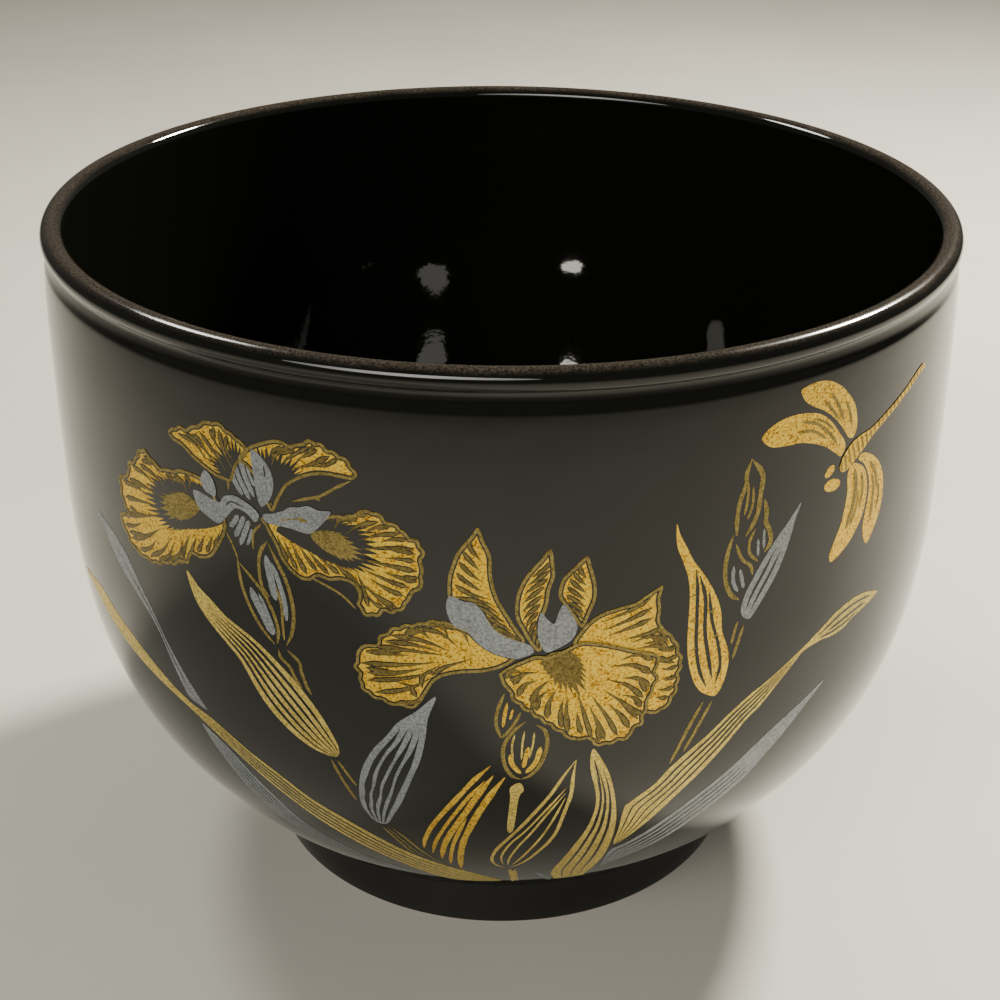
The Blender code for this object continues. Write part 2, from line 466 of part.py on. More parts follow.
def build_element(collection, wall, name, finish, outline):
    mesh = flat_outline(name, outline)
    solid = bmesh.new()
    solid.from_mesh(mesh)
    bmesh.ops.remove_doubles(solid, verts=solid.verts, dist=1e-4)
    cut_into_strips(solid, 0, STRIP_WIDTH)
    cut_into_strips(solid, 1, STRIP_HEIGHT)
    wrap_round_wall(solid, wall)
    bmesh.ops.triangulate(solid, faces=solid.faces)
    bmesh.ops.recalc_face_normals(solid, faces=solid.faces)
    solid.to_mesh(mesh)
    solid.free()
    mesh.materials.clear()
    mesh.materials.append(make_material(name + "_finish", finish))
    element = bpy.data.objects.new(name, mesh)
    mesh.name = name
    collection.objects.link(element)
    return element


def eye_outline(centre_x, centre_y, half_length, half_width, turn_deg):
    turn = math.radians(turn_deg)
    outline = []
    for i in range(EYE_SIDES):
        t = math.tau * i / EYE_SIDES
        along, across = half_length * math.cos(t), half_width * math.sin(t)
        x = centre_x + along * math.cos(turn) - across * math.sin(turn)
        y = centre_y + along * math.sin(turn) + across * math.cos(turn)
        outline.append((x, y))
    return outline


def main():
    clear_scene()
    collection = make_collection("iris_bowl")
    wall = WallCurve()
    build_bowl(collection, wall)
    for group in (LEFT_IRIS, CENTRE_IRIS, LEAVES, BUDS, DRAGONFLY):
        for name, (finish, outline) in group.items():
            build_element(collection, wall, name, finish, outline)
    for name, eye in EYES.items():
        build_element(collection, wall, name, "bright_gold", eye_outline(*eye))


main()
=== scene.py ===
"""Black glazed bowl with a gold and silver iris and dragonfly transfer: the looks.

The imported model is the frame.  Here the bowl is turned again with a fine surface, and every
printed element is drawn again with its border, veins and gaps, a hair off the glaze.
Design numbers are in millimetres on a flat sheet that wraps the wall; objects are in metres.
"""

import math
import random

import bmesh
import bpy
from mathutils import Matrix, Vector
from mathutils.geometry import delaunay_2d_cdt


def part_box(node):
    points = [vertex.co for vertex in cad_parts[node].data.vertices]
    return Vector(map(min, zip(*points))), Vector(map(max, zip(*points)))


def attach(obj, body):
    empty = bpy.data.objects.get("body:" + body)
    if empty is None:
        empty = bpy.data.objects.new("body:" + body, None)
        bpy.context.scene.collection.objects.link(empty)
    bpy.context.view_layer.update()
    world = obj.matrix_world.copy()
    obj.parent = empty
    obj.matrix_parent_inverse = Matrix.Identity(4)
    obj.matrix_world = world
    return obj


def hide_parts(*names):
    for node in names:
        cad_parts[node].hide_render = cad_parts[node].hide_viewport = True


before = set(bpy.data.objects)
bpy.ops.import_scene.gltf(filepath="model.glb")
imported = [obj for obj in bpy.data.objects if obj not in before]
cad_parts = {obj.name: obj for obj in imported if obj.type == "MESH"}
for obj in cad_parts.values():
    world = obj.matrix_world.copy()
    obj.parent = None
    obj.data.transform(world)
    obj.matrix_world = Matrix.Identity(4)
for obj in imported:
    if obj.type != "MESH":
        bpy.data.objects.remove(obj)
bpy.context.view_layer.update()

# ---- the bowl, in millimetres, as in the frame ----
MM = 0.001
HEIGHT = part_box("bowl_body")[1][2] / MM
RIM_RADIUS = 75.0
LIP_HALF_WIDTH = 1.9
LIP_RISE = 1.8
LIP_END_DEG = -50  # the lip's round section runs from straight inwards, over its top, to here
FOOT_RADIUS = 43.5
FOOT_RING = 5.0
FOOT_HEIGHT = 7.5
FOOT_RECESS = 4.0
FLOOR_TOP = 9.6
EDGE_ROUND = 0.6
NECK_START = 112.6
TURN_STEPS = 256
WALL_SAMPLES = 16

# Outer side of the wall from the foot up to the lip, as (radius, height).
WALL_POINTS = [
    (44.5, 9.8), (50.2, 14.0), (59.2, 23.5), (67.4, 35.5), (72.7, 49.5),
    (75.0, 65.0), (75.4, 83.0), (75.3, 101.0), (75.0, 109.5), (74.6, 114.0),
]
# Inner side from the middle of the floor up to the lip.
INSIDE_POINTS = [
    (0.0, FLOOR_TOP), (20.0, FLOOR_TOP), (34.0, FLOOR_TOP + 0.4), (43.8, 13.0), (55.8, 26.0), (64.0, 37.4),
    (68.9, 50.6), (71.0, 65.4), (71.4, 83.0), (71.3, 101.0), (71.2, HEIGHT - LIP_RISE),
]
# The hollow under the lip, between the lip's end and the wall.
NECK_POINTS = [(74.24, 114.95), (74.26, 114.50), (74.42, 113.60)]

# ---- the glaze: a grain near the top of the lip, and bare clay under the foot ----
GLAZE_BLACK = (0.0040, 0.0044, 0.0032)
GLAZE_ROUGHNESS = 0.03
LIP_GRAIN_DEPTH = 0.75  # from the top of the lip down
LIP_GRAIN_FADE = 1500.0  # how fast the grain comes in, per metre of height
CLAY_HEIGHT = 0.35

# ---- the transfer ----
SHEET_RADIUS = 75.0  # the radius that the flat sheet is wrapped round
LAYERS = {"fill": 0.03, "gap": 0.05, "line": 0.07, "top": 0.09}  # heights off the glaze
RAISED = 0.07  # how much higher the elements that lie over their neighbours are
GRID_STEP = 2.4  # between the points inside a filled shape
OUTLINE_SAMPLES = 7
LINE_SAMPLES = 6
VEIN_SAMPLES = 7
BORDER_WIDTH = 0.44
BORDER_GAP = 0.24
GAP_OVERLAP = 0.02
VEIN_EDGE = 0.17  # how far a vein's dark outline shows on each side
FORK_SPREAD = 0.42  # how far a fork leans out, as a share of the veins' spacing
FORK_WIDTH = 0.75  # as a share of its vein's width
DASH_WIDTH = 0.42
STROKE_WIDTH = 0.52
WOBBLE_RATE = 2.9  # radians to the millimetre along a stroke
WOBBLE_SHIFT = 7.0
RUFFLE_PITCH = 2.3
RUFFLE_DEPTH = 0.36
RUFFLE_FADE = 8  # outline points over which the scallops fade in and out

# Fired metals: (colour stops from the dark grains to the bright ones, metallic, roughness, grains to
# the metre, relief in metres).  The contrast between the dark and bright grains is partly the print's
# own grain and partly painted sparkle.
METALS = {
    "bright_gold": (
        [(0.37, (0.22, 0.110, 0.006)), (0.46, (0.90, 0.500, 0.034)), (0.56, (1.00, 0.745, 0.105))],
        0.86, 0.27, 2400.0, 0.00026),
    "antique_gold": (
        [(0.36, (0.34, 0.245, 0.055)), (0.48, (0.66, 0.510, 0.130)), (0.60, (0.92, 0.740, 0.230))],
        0.80, 0.38, 2700.0, 0.00008),
    "line_gold": (
        [(0.36, (0.130, 0.098, 0.026)), (0.48, (0.270, 0.208, 0.062)), (0.60, (0.420, 0.330, 0.110))],
        0.80, 0.38, 2700.0, 0.00008),
    "vein_gold": (
        [(0.36, (0.094, 0.069, 0.019)), (0.48, (0.190, 0.142, 0.040)), (0.60, (0.310, 0.236, 0.072))],
        0.80, 0.38, 2700.0, 0.00008),
    "silver": (
        [(0.36, (0.172, 0.186, 0.200)), (0.48, (0.278, 0.298, 0.315)), (0.60, (0.400, 0.426, 0.447))],
        0.70, 0.40, 2700.0, 0.00008),
}

# ---- camera, in millimetres and radians ----
CAMERA_TARGET = (6.45, 0.0, 60.9)
CAMERA_DISTANCE = 309.4
CAMERA_ELEVATION = 0.481
CAMERA_ROLL = 0.014
CAMERA_LENS = 61.2
CAMERA_SENSOR = 36.0
CAMERA_SHIFT = (-0.0389, 0.0018)

# ---- lights and floor, in metres and watts ----
FLOOR_HALF = 6.0
WORLD_COLOUR = (1.0, 0.96, 0.88, 1.0)
WORLD_STRENGTH = 0.11
# Ellipse lamps: (name, place, the point they face, size, power, colour, spread in degrees).
LIGHTS = [
    ("back_right", (0.36, 0.36, 0.56), (0.04, -0.03, 0.0), (0.13, 0.13), 12.5, (1.0, 0.94, 0.82), 180),
    ("back_left", (-0.30, 0.22, 0.52), (0.0, -0.03, 0.0), (0.14, 0.14), 1.5, (1.0, 0.97, 0.90), 180),
    ("front_fill", (-0.24, -0.64, 0.50), (0.0, -0.02, 0.08), (0.80, 0.30), 0.85, (1.0, 0.97, 0.90), 76),
]

# ---- filled elements, as (slot, outline) ----
# Outlines are in sheet millimetres: x runs round the wall from the front, to the right, and y runs up
# the wall from its join with the foot.  A leaf's outline, or a petal's with dashes, starts at its tip.
LEFT_IRIS = {
    "left_iris_standard_left": ("bright_gold", [
        (-48.5, 103.0), (-46.7, 104.2), (-44.5, 104.6), (-42.4, 105.8), (-39.9, 106.8), (-38.2, 106.6),
        (-36.4, 105.6), (-35.0, 105.0), (-34.0, 103.9), (-34.6, 102.6), (-35.9, 101.3), (-36.6, 99.6),
        (-37.2, 98.4), (-38.4, 98.4), (-40.3, 98.7), (-42.2, 99.5), (-43.9, 100.3), (-45.8, 101.5),
        (-47.6, 102.0),
    ]),
    "left_iris_standard_right": ("bright_gold", [
        (-35.6, 102.1), (-35.2, 103.3), (-34.2, 104.2), (-33.0, 105.0), (-30.3, 106.2), (-28.6, 106.4),
        (-27.0, 106.0), (-24.8, 107.1), (-23.0, 107.0), (-21.5, 106.2), (-19.8, 105.6), (-18.6, 104.6),
        (-17.9, 103.2), (-18.4, 102.4), (-20.0, 102.4), (-21.8, 102.5), (-23.6, 102.3), (-25.2, 101.7),
        (-26.8, 100.8), (-28.2, 99.6), (-29.4, 97.6), (-30.6, 95.4), (-31.8, 97.0), (-32.6, 99.4),
        (-34.2, 101.2),
    ]),
    "left_iris_fall_left": ("bright_gold", [
        (-41.6, 97.0), (-45.0, 97.8), (-47.7, 97.3), (-49.7, 96.7), (-51.7, 96.9), (-54.2, 98.3),
        (-55.7, 97.7), (-57.0, 95.8), (-58.7, 94.7), (-59.3, 92.6), (-61.2, 91.8), (-61.8, 90.0),
        (-61.3, 87.4), (-60.3, 85.8), (-62.2, 85.2), (-62.7, 83.8), (-61.5, 82.2), (-60.6, 80.8),
        (-58.6, 79.8), (-56.0, 79.5), (-53.7, 79.8), (-51.5, 80.8), (-49.7, 81.2), (-48.3, 82.2),
        (-46.7, 82.5), (-45.7, 84.3), (-44.0, 84.3), (-42.0, 85.1), (-40.3, 87.3), (-38.8, 90.2),
        (-38.8, 92.4),
    ]),
    "left_iris_fall_right": ("bright_gold", [
        (-25.0, 95.4), (-21.2, 96.7), (-19.7, 96.7), (-18.2, 97.4), (-16.4, 98.1), (-14.9, 97.6),
        (-13.7, 96.7), (-12.2, 96.1), (-11.1, 94.9), (-9.6, 94.0), (-8.9, 92.4), (-9.2, 90.6), (-9.0, 88.6),
        (-9.6, 86.7), (-10.9, 85.4), (-11.5, 83.9), (-13.0, 82.6), (-14.5, 82.6), (-15.9, 81.6),
        (-17.4, 81.7), (-18.4, 83.0), (-18.2, 84.7), (-18.9, 86.2), (-20.6, 86.7), (-22.4, 86.3),
        (-24.0, 86.6), (-25.4, 85.7), (-26.9, 85.7), (-28.5, 86.8), (-29.7, 88.3), (-30.6, 90.5),
        (-31.9, 92.8), (-32.1, 94.2),
    ]),
    "left_iris_style_left": ("silver", [
        (-44.3, 95.1), (-42.5, 95.2), (-40.9, 94.8), (-39.4, 94.7), (-38.6, 95.8), (-36.8, 96.4),
        (-35.0, 95.9), (-33.6, 95.2), (-32.8, 94.2), (-33.6, 93.1), (-34.8, 94.1), (-36.6, 94.5),
        (-37.9, 93.2), (-38.6, 92.4), (-40.0, 91.2), (-42.0, 91.8), (-43.5, 92.7),
    ]),
    "left_iris_style_right": ("silver", [
        (-32.1, 94.6), (-30.4, 95.2), (-28.9, 95.9), (-27.9, 96.6), (-26.3, 97.0), (-24.9, 97.4),
        (-23.6, 97.0), (-21.8, 97.1), (-22.4, 95.9), (-23.9, 94.1), (-25.3, 93.1), (-28.0, 93.4),
        (-31.6, 93.5),
    ]),
    "left_iris_petal_small": ("silver", [
        (-41.8, 99.0), (-42.7, 97.2), (-42.0, 95.8), (-41.0, 95.4), (-40.2, 95.3), (-40.0, 96.6),
        (-40.6, 98.2),
    ]),
    "left_iris_petal_centre": ("silver", [
        (-33.5, 104.1), (-31.7, 103.2), (-30.5, 101.4), (-30.2, 99.4), (-30.9, 97.2), (-32.3, 95.8),
        (-33.0, 97.6), (-33.3, 100.5),
    ]),
}

CENTRE_IRIS = {
    "centre_iris_standard_left": ("bright_gold", [
        (-1.6, 96.6), (-0.8, 94.6), (0.1, 92.4), (0.3, 89.0), (1.0, 86.0), (2.5, 83.0), (3.6, 81.0),
        (4.7, 79.2), (4.2, 78.4), (1.8, 79.5), (-0.1, 81.3), (-1.3, 83.2), (-2.4, 84.5), (-4.2, 84.9),
        (-5.6, 85.6), (-5.7, 88.6), (-5.1, 91.0), (-4.3, 93.0), (-2.8, 95.0),
    ]),
    "centre_iris_style_left": ("silver", [
        (-5.4, 86.0), (-6.0, 84.4), (-5.6, 82.4), (-4.8, 81.1), (-3.1, 80.3), (-1.7, 78.6), (0.2, 77.1),
        (3.0, 76.1), (4.6, 76.3), (6.0, 77.1), (5.4, 78.3), (3.6, 79.0), (1.5, 80.0), (0.0, 81.6),
        (-1.0, 83.6), (-2.2, 85.0), (-3.6, 85.2),
    ]),
    "centre_iris_standard_middle": ("bright_gold", [
        (8.1, 93.3), (8.6, 91.0), (8.7, 89.0), (8.1, 87.0), (7.9, 85.0), (7.5, 83.6), (7.0, 82.0),
        (7.0, 80.0), (7.3, 78.0), (6.5, 77.2), (5.2, 79.0), (4.4, 80.7), (3.6, 82.4), (3.4, 84.5),
        (3.8, 87.0), (4.9, 89.4), (6.5, 91.4),
    ]),
    "centre_iris_style_right": ("silver", [
        (7.0, 83.5), (7.8, 82.4), (8.8, 81.6), (9.3, 83.2), (10.0, 84.6), (11.0, 83.3), (11.9, 81.4),
        (11.9, 80.2), (11.2, 78.8), (9.6, 77.7), (7.8, 77.0), (7.0, 78.2), (6.5, 80.0), (6.6, 82.2),
    ]),
    "centre_iris_standard_right": ("bright_gold", [
        (13.1, 91.9), (13.8, 90.0), (14.4, 87.6), (14.5, 85.4), (13.8, 83.2), (12.7, 80.7), (11.6, 82.0),
        (10.8, 83.4), (9.9, 84.7), (9.3, 86.0), (9.4, 87.4), (9.9, 88.8), (11.4, 90.4),
    ]),
    "centre_iris_fall_left": ("bright_gold", [
        (3.4, 76.2), (0.5, 77.5), (-1.4, 79.0), (-2.8, 80.5), (-4.8, 81.4), (-7.3, 81.9), (-10.0, 81.2),
        (-13.0, 80.3), (-15.3, 78.5), (-16.0, 77.2), (-18.5, 76.2), (-18.8, 74.7), (-19.3, 73.0),
        (-18.7, 71.5), (-18.6, 69.8), (-17.6, 68.5), (-15.9, 67.7), (-13.7, 67.1), (-11.0, 67.0),
        (-9.8, 68.1), (-8.9, 69.9), (-7.8, 71.8), (-6.5, 72.8), (-4.0, 73.5), (-1.0, 73.8), (1.6, 74.6),
    ]),
    "centre_iris_fall_right": ("bright_gold", [
        (11.6, 77.8), (12.7, 80.4), (14.2, 82.0), (16.0, 82.9), (18.0, 83.4), (20.1, 83.8), (21.7, 84.8),
        (23.9, 85.9), (23.7, 84.0), (23.9, 82.0), (23.8, 80.3), (24.8, 78.6), (26.2, 77.0), (27.0, 75.0),
        (27.6, 72.8), (27.3, 70.8), (27.2, 68.6), (26.5, 66.4), (25.1, 64.7), (23.4, 64.4), (22.0, 65.6),
        (22.6, 68.4), (23.0, 70.3), (22.9, 72.2), (22.6, 73.6), (19.6, 75.2), (15.8, 76.8),
    ]),
    "centre_iris_fall_front": ("bright_gold", [
        (6.3, 76.5), (4.6, 75.8), (3.2, 75.1), (1.5, 73.9), (1.3, 72.8), (2.3, 71.2), (2.8, 69.8),
        (3.8, 68.4), (5.3, 67.0), (7.0, 65.5), (9.0, 63.8), (10.7, 62.3), (12.3, 61.2), (14.0, 61.5),
        (15.0, 60.2), (16.7, 59.8), (18.4, 60.2), (20.3, 60.6), (20.8, 62.0), (22.0, 62.8), (22.4, 64.6),
        (23.2, 68.3), (24.0, 70.3), (23.7, 72.2), (23.9, 74.6), (20.0, 76.2), (16.0, 77.7), (12.6, 78.3),
        (10.4, 77.3), (8.2, 76.3),
    ]),
    "centre_iris_stem": ("antique_gold", [
        (4.2, 53.2), (3.0, 52.4), (2.8, 51.2), (2.9, 49.6), (2.5, 41.7), (3.5, 41.7), (4.2, 49.6),
        (4.9, 51.4), (4.8, 52.5),
    ]),
}

LEAVES = {
    "left_gold_leaf": ("antique_gold", [
        (-47.2, 81.2), (-45.0, 79.2), (-42.5, 77.6), (-40.0, 75.8), (-35.0, 73.3), (-30.0, 69.2),
        (-26.7, 65.2), (-24.9, 62.2), (-23.3, 58.6), (-22.9, 56.6), (-23.4, 55.3), (-24.7, 55.1),
        (-26.8, 55.6), (-29.0, 56.8), (-31.8, 59.1), (-35.0, 63.0), (-38.0, 68.6), (-40.2, 70.9),
        (-42.6, 73.0), (-45.0, 75.4), (-46.4, 77.8),
    ]),
    "far_left_silver_blade_tip": ("silver", [
        (-71.0, 81.6), (-68.0, 81.1), (-65.0, 79.9), (-62.4, 78.0), (-60.0, 75.2), (-57.9, 72.4),
        (-56.0, 69.8), (-54.4, 66.9), (-52.0, 63.0), (-50.0, 60.0), (-48.0, 57.2), (-47.3, 56.0),
        (-49.3, 56.3), (-51.2, 57.0), (-52.6, 60.0), (-54.0, 63.4), (-55.4, 66.8), (-57.2, 69.2),
        (-59.2, 70.9), (-61.8, 72.9), (-64.8, 75.0), (-67.4, 77.6),
    ]),
    "far_left_silver_blade_base": ("silver", [
        (-49.6, 52.0), (-47.2, 50.8), (-45.2, 49.2), (-43.0, 46.6), (-40.6, 43.2), (-38.4, 40.0),
        (-36.4, 36.4), (-34.0, 32.6), (-30.5, 29.0), (-26.5, 25.4), (-22.0, 22.0), (-17.5, 19.0),
        (-20.0, 18.8), (-25.0, 20.6), (-30.0, 23.0), (-35.0, 26.4), (-39.0, 30.0), (-41.6, 33.6),
        (-43.2, 37.0), (-45.0, 40.2), (-47.0, 45.0), (-48.6, 48.8),
    ]),
    "far_left_gold_blade": ("antique_gold", [
        (-84.0, 65.2), (-79.0, 66.0), (-74.0, 66.2), (-69.0, 64.0), (-64.5, 62.2), (-60.0, 60.0),
        (-55.0, 57.4), (-51.0, 55.6), (-46.8, 54.5), (-43.0, 52.4), (-40.0, 50.4), (-35.0, 47.2),
        (-30.0, 43.0), (-25.0, 39.7), (-20.0, 35.7), (-15.0, 31.2), (-11.7, 28.5), (-8.3, 25.9),
        (-6.0, 24.2), (-1.7, 20.6), (1.6, 17.0), (-2.0, 15.8), (-8.4, 15.7), (-11.7, 18.0), (-15.0, 21.3),
        (-20.0, 26.6), (-25.0, 31.7), (-30.0, 36.5), (-35.0, 41.3), (-40.0, 45.9), (-44.6, 49.9),
        (-50.2, 53.5), (-55.0, 55.4), (-60.0, 56.9), (-66.0, 58.8), (-72.0, 60.8), (-78.0, 63.4),
    ]),
    "silver_bract": ("silver", [
        (-7.7, 69.2), (-10.7, 66.2), (-13.3, 64.0), (-15.3, 61.0), (-17.4, 58.2), (-19.4, 54.2),
        (-20.5, 50.0), (-20.9, 45.8), (-20.3, 43.0), (-19.0, 40.8), (-17.2, 40.8), (-15.6, 43.8),
        (-13.9, 47.4), (-12.0, 52.6), (-10.3, 57.3), (-9.4, 61.6), (-8.9, 65.2),
    ]),
    "front_leaf_right": ("antique_gold", [
        (15.0, 59.2), (14.7, 57.2), (15.0, 54.4), (15.8, 51.0), (16.3, 48.0), (16.2, 44.5), (15.4, 40.0),
        (14.0, 35.3), (12.7, 30.0), (11.7, 25.0), (11.6, 21.0), (12.6, 18.0), (13.4, 15.8), (19.2, 15.8),
        (19.4, 18.4), (19.9, 21.8), (20.4, 26.7), (20.6, 33.3), (20.5, 40.0), (19.9, 45.0), (18.9, 50.0),
        (17.6, 54.4), (15.9, 58.0),
    ]),
    "silver_shoot": ("silver", [
        (8.3, 22.8), (9.4, 22.2), (10.6, 20.4), (11.6, 18.0), (12.4, 15.9), (11.4, 15.9), (10.4, 18.0),
        (9.2, 20.4),
    ]),
    "right_gold_blade": ("antique_gold", [
        (67.6, 70.8), (65.0, 72.1), (62.3, 72.8), (59.3, 72.8), (56.3, 72.1), (54.0, 71.0), (51.3, 69.5),
        (47.3, 67.3), (43.3, 65.0), (40.0, 63.3), (36.7, 60.9), (33.3, 57.8), (30.0, 55.0), (27.6, 52.6),
        (26.3, 50.6), (25.0, 49.0), (22.0, 46.2), (21.2, 44.6), (21.2, 38.3), (21.2, 34.4), (21.8, 33.6),
        (23.7, 35.8), (26.7, 40.3), (30.2, 45.7), (33.4, 49.8), (36.7, 54.2), (40.0, 58.4), (42.4, 60.4),
        (45.0, 63.3), (48.0, 66.3), (49.8, 67.8), (53.3, 68.3), (56.0, 68.0), (58.8, 68.3), (60.8, 69.2),
        (63.4, 69.7),
    ]),
    "right_silver_blade": ("silver", [
        (56.3, 59.7), (53.3, 58.3), (50.0, 56.6), (46.7, 54.7), (43.3, 52.2), (40.0, 49.0), (36.7, 46.0),
        (33.3, 42.9), (30.0, 39.6), (26.5, 35.8), (23.4, 33.0), (21.3, 31.0), (21.2, 26.0), (21.6, 22.4),
        (23.4, 23.8), (26.7, 26.7), (30.0, 29.4), (33.2, 32.8), (36.0, 36.2), (39.0, 39.4), (41.8, 42.4),
        (43.8, 44.6), (46.0, 48.0), (48.4, 51.0), (50.2, 53.2), (52.6, 56.0),
    ]),
}

BUDS = {
    "striped_bud": ("bright_gold", [
        (25.6, 95.3), (25.8, 92.0), (26.8, 89.3), (27.8, 86.4), (28.2, 83.0), (28.2, 79.0), (28.3, 75.0),
        (28.8, 71.7), (29.8, 68.6), (31.1, 66.6), (33.0, 65.3), (33.9, 65.4), (34.8, 67.3), (35.3, 70.7),
        (34.9, 73.3), (33.8, 76.3), (33.3, 80.0), (32.1, 83.2), (30.3, 86.4), (28.5, 89.0), (27.3, 91.4),
        (26.2, 93.6),
    ]),
    "tall_bud_silver_leaf": ("silver", [
        (46.0, 94.0), (44.0, 91.7), (41.8, 89.2), (40.0, 86.7), (38.5, 84.2), (37.3, 81.9), (36.7, 79.8),
        (36.9, 78.3), (37.7, 77.4), (38.5, 77.4), (39.6, 78.8), (41.1, 81.1), (42.6, 83.6), (43.8, 86.6),
        (44.6, 89.2), (45.2, 91.6),
    ]),
}

DRAGONFLY = {
    "dragonfly_body": ("bright_gold", [
        (53.3, 97.3), (53.9, 98.9), (55.4, 100.4), (57.2, 101.1), (58.8, 101.3), (60.2, 101.5),
        (62.0, 102.1), (65.0, 103.2), (69.3, 104.8), (73.7, 106.6), (75.2, 106.6), (75.5, 105.9),
        (73.3, 105.4), (69.6, 103.9), (66.0, 102.5), (62.6, 101.1), (60.4, 100.1), (58.9, 99.0),
        (57.0, 97.7), (55.2, 96.6), (54.0, 96.4),
    ]),
    "dragonfly_wing_upper_rear": ("bright_gold", [
        (44.6, 111.3), (45.9, 111.8), (48.1, 111.9), (50.2, 111.4), (52.3, 110.2), (54.1, 108.5),
        (55.6, 106.5), (56.3, 104.4), (56.4, 102.6), (55.8, 101.4), (54.8, 101.6), (53.9, 102.7),
        (52.6, 104.3), (50.9, 106.0), (48.8, 107.5), (46.6, 108.7), (45.3, 109.8),
    ]),
    "dragonfly_wing_upper_front": ("bright_gold", [
        (38.1, 105.8), (39.3, 107.0), (41.4, 107.8), (43.8, 108.0), (46.2, 107.7), (48.6, 106.9),
        (50.7, 105.3), (52.4, 103.3), (53.8, 101.5), (54.2, 100.3), (53.4, 99.1), (52.2, 99.9),
        (50.2, 101.4), (47.8, 102.6), (45.0, 103.5), (42.6, 103.7), (40.2, 104.0), (38.9, 104.7),
    ]),
    "dragonfly_wing_lower_front": ("bright_gold", [
        (56.6, 97.0), (55.5, 96.2), (55.4, 94.6), (55.7, 92.6), (55.4, 90.0), (54.8, 87.3), (53.7, 85.0),
        (53.0, 83.0), (53.7, 81.8), (56.3, 82.9), (58.3, 84.7), (60.0, 87.3), (60.6, 90.6), (60.1, 93.6),
        (58.9, 95.7),
    ]),
    "dragonfly_wing_lower_rear": ("bright_gold", [
        (58.6, 98.0), (61.0, 96.9), (63.3, 94.8), (64.7, 92.2), (65.2, 89.3), (65.0, 86.6), (63.8, 83.8),
        (62.3, 81.8), (61.1, 83.0), (60.5, 85.3), (60.8, 88.0), (61.1, 90.7), (60.7, 93.3), (59.2, 96.0),
        (57.6, 97.3),
    ]),
}

# Eyes as (centre x, centre y, half length, half width, turn in degrees).
EYES = {
    "dragonfly_eye_upper": (51.3, 97.3, 1.1, 0.75, 40.0),
    "dragonfly_eye_lower": (52.1, 94.9, 1.7, 1.0, -8.0),
}

# Leaves: dark gaps along the leaf, as (count, where they start and where they stop from tip to base,
# width, wobble).
LEAF_GAPS = {
    "left_gold_leaf": (5, 0.2, 0.985, 0.52, 0.1),
    "far_left_silver_blade_tip": (1, 0.2, 0.95, 0.26, 0.1),
    "far_left_silver_blade_base": (4, 0.04, 0.92, 0.42, 0.1),
    "far_left_gold_blade": (4, 0.34, 0.97, 0.44, 0.1),
    "silver_bract": (4, 0.24, 0.96, 0.98, 0.22),
    "front_leaf_right": (3, 0.08, 0.99, 0.52, 0.12),
    "right_gold_blade": (4, 0.3, 0.99, 0.42, 0.1),
    "right_silver_blade": (4, 0.34, 0.97, 0.52, 0.16),
    "tall_bud_silver_leaf": (2, 0.38, 0.88, 0.44, 0.12),
    "silver_shoot": (1, 0.2, 0.9, 0.25, 0.1),
}

# Petals with short slanting veins: (count, first and last place from tip to base, how far the vein
# drops, across where it starts and where it stops).
PETAL_DASHES = {
    "centre_iris_standard_left": (11, 0.1, 0.86, 0.16, 0.84, 0.26),
    "centre_iris_standard_middle": (10, 0.12, 0.84, 0.17, 0.22, 0.8),
    "centre_iris_standard_right": (7, 0.14, 0.72, 0.18, 0.8, 0.26),
}

# Petals whose veins fan out: (throat, first and last outline point, veins, the share of the way to
# the throat that they reach, vein width, bend of the veins in millimetres).
PETAL_FANS = {
    "centre_iris_fall_front": ((10.6, 76.0), 3, 24, 19, 0.62, 0.74, 1.0),
    "centre_iris_fall_left": ((-0.5, 76.0), 4, 19, 17, 0.76, 0.7, 1.6),
    "centre_iris_fall_right": ((13.4, 78.0), 11, 19, 9, 0.6, 0.66, -1.4),
    "left_iris_fall_left": ((-43.5, 91.6), 1, 23, 19, 0.56, 0.64, 1.0),
    "left_iris_fall_right": ((-24.5, 91.4), 2, 21, 19, 0.58, 0.62, -0.8),
    "left_iris_standard_left": ((-35.4, 97.0), 0, 7, 8, 0.68, 0.52, 1.2),
    "left_iris_standard_right": ((-33.0, 99.6), 5, 13, 9, 0.62, 0.56, -0.9),
}

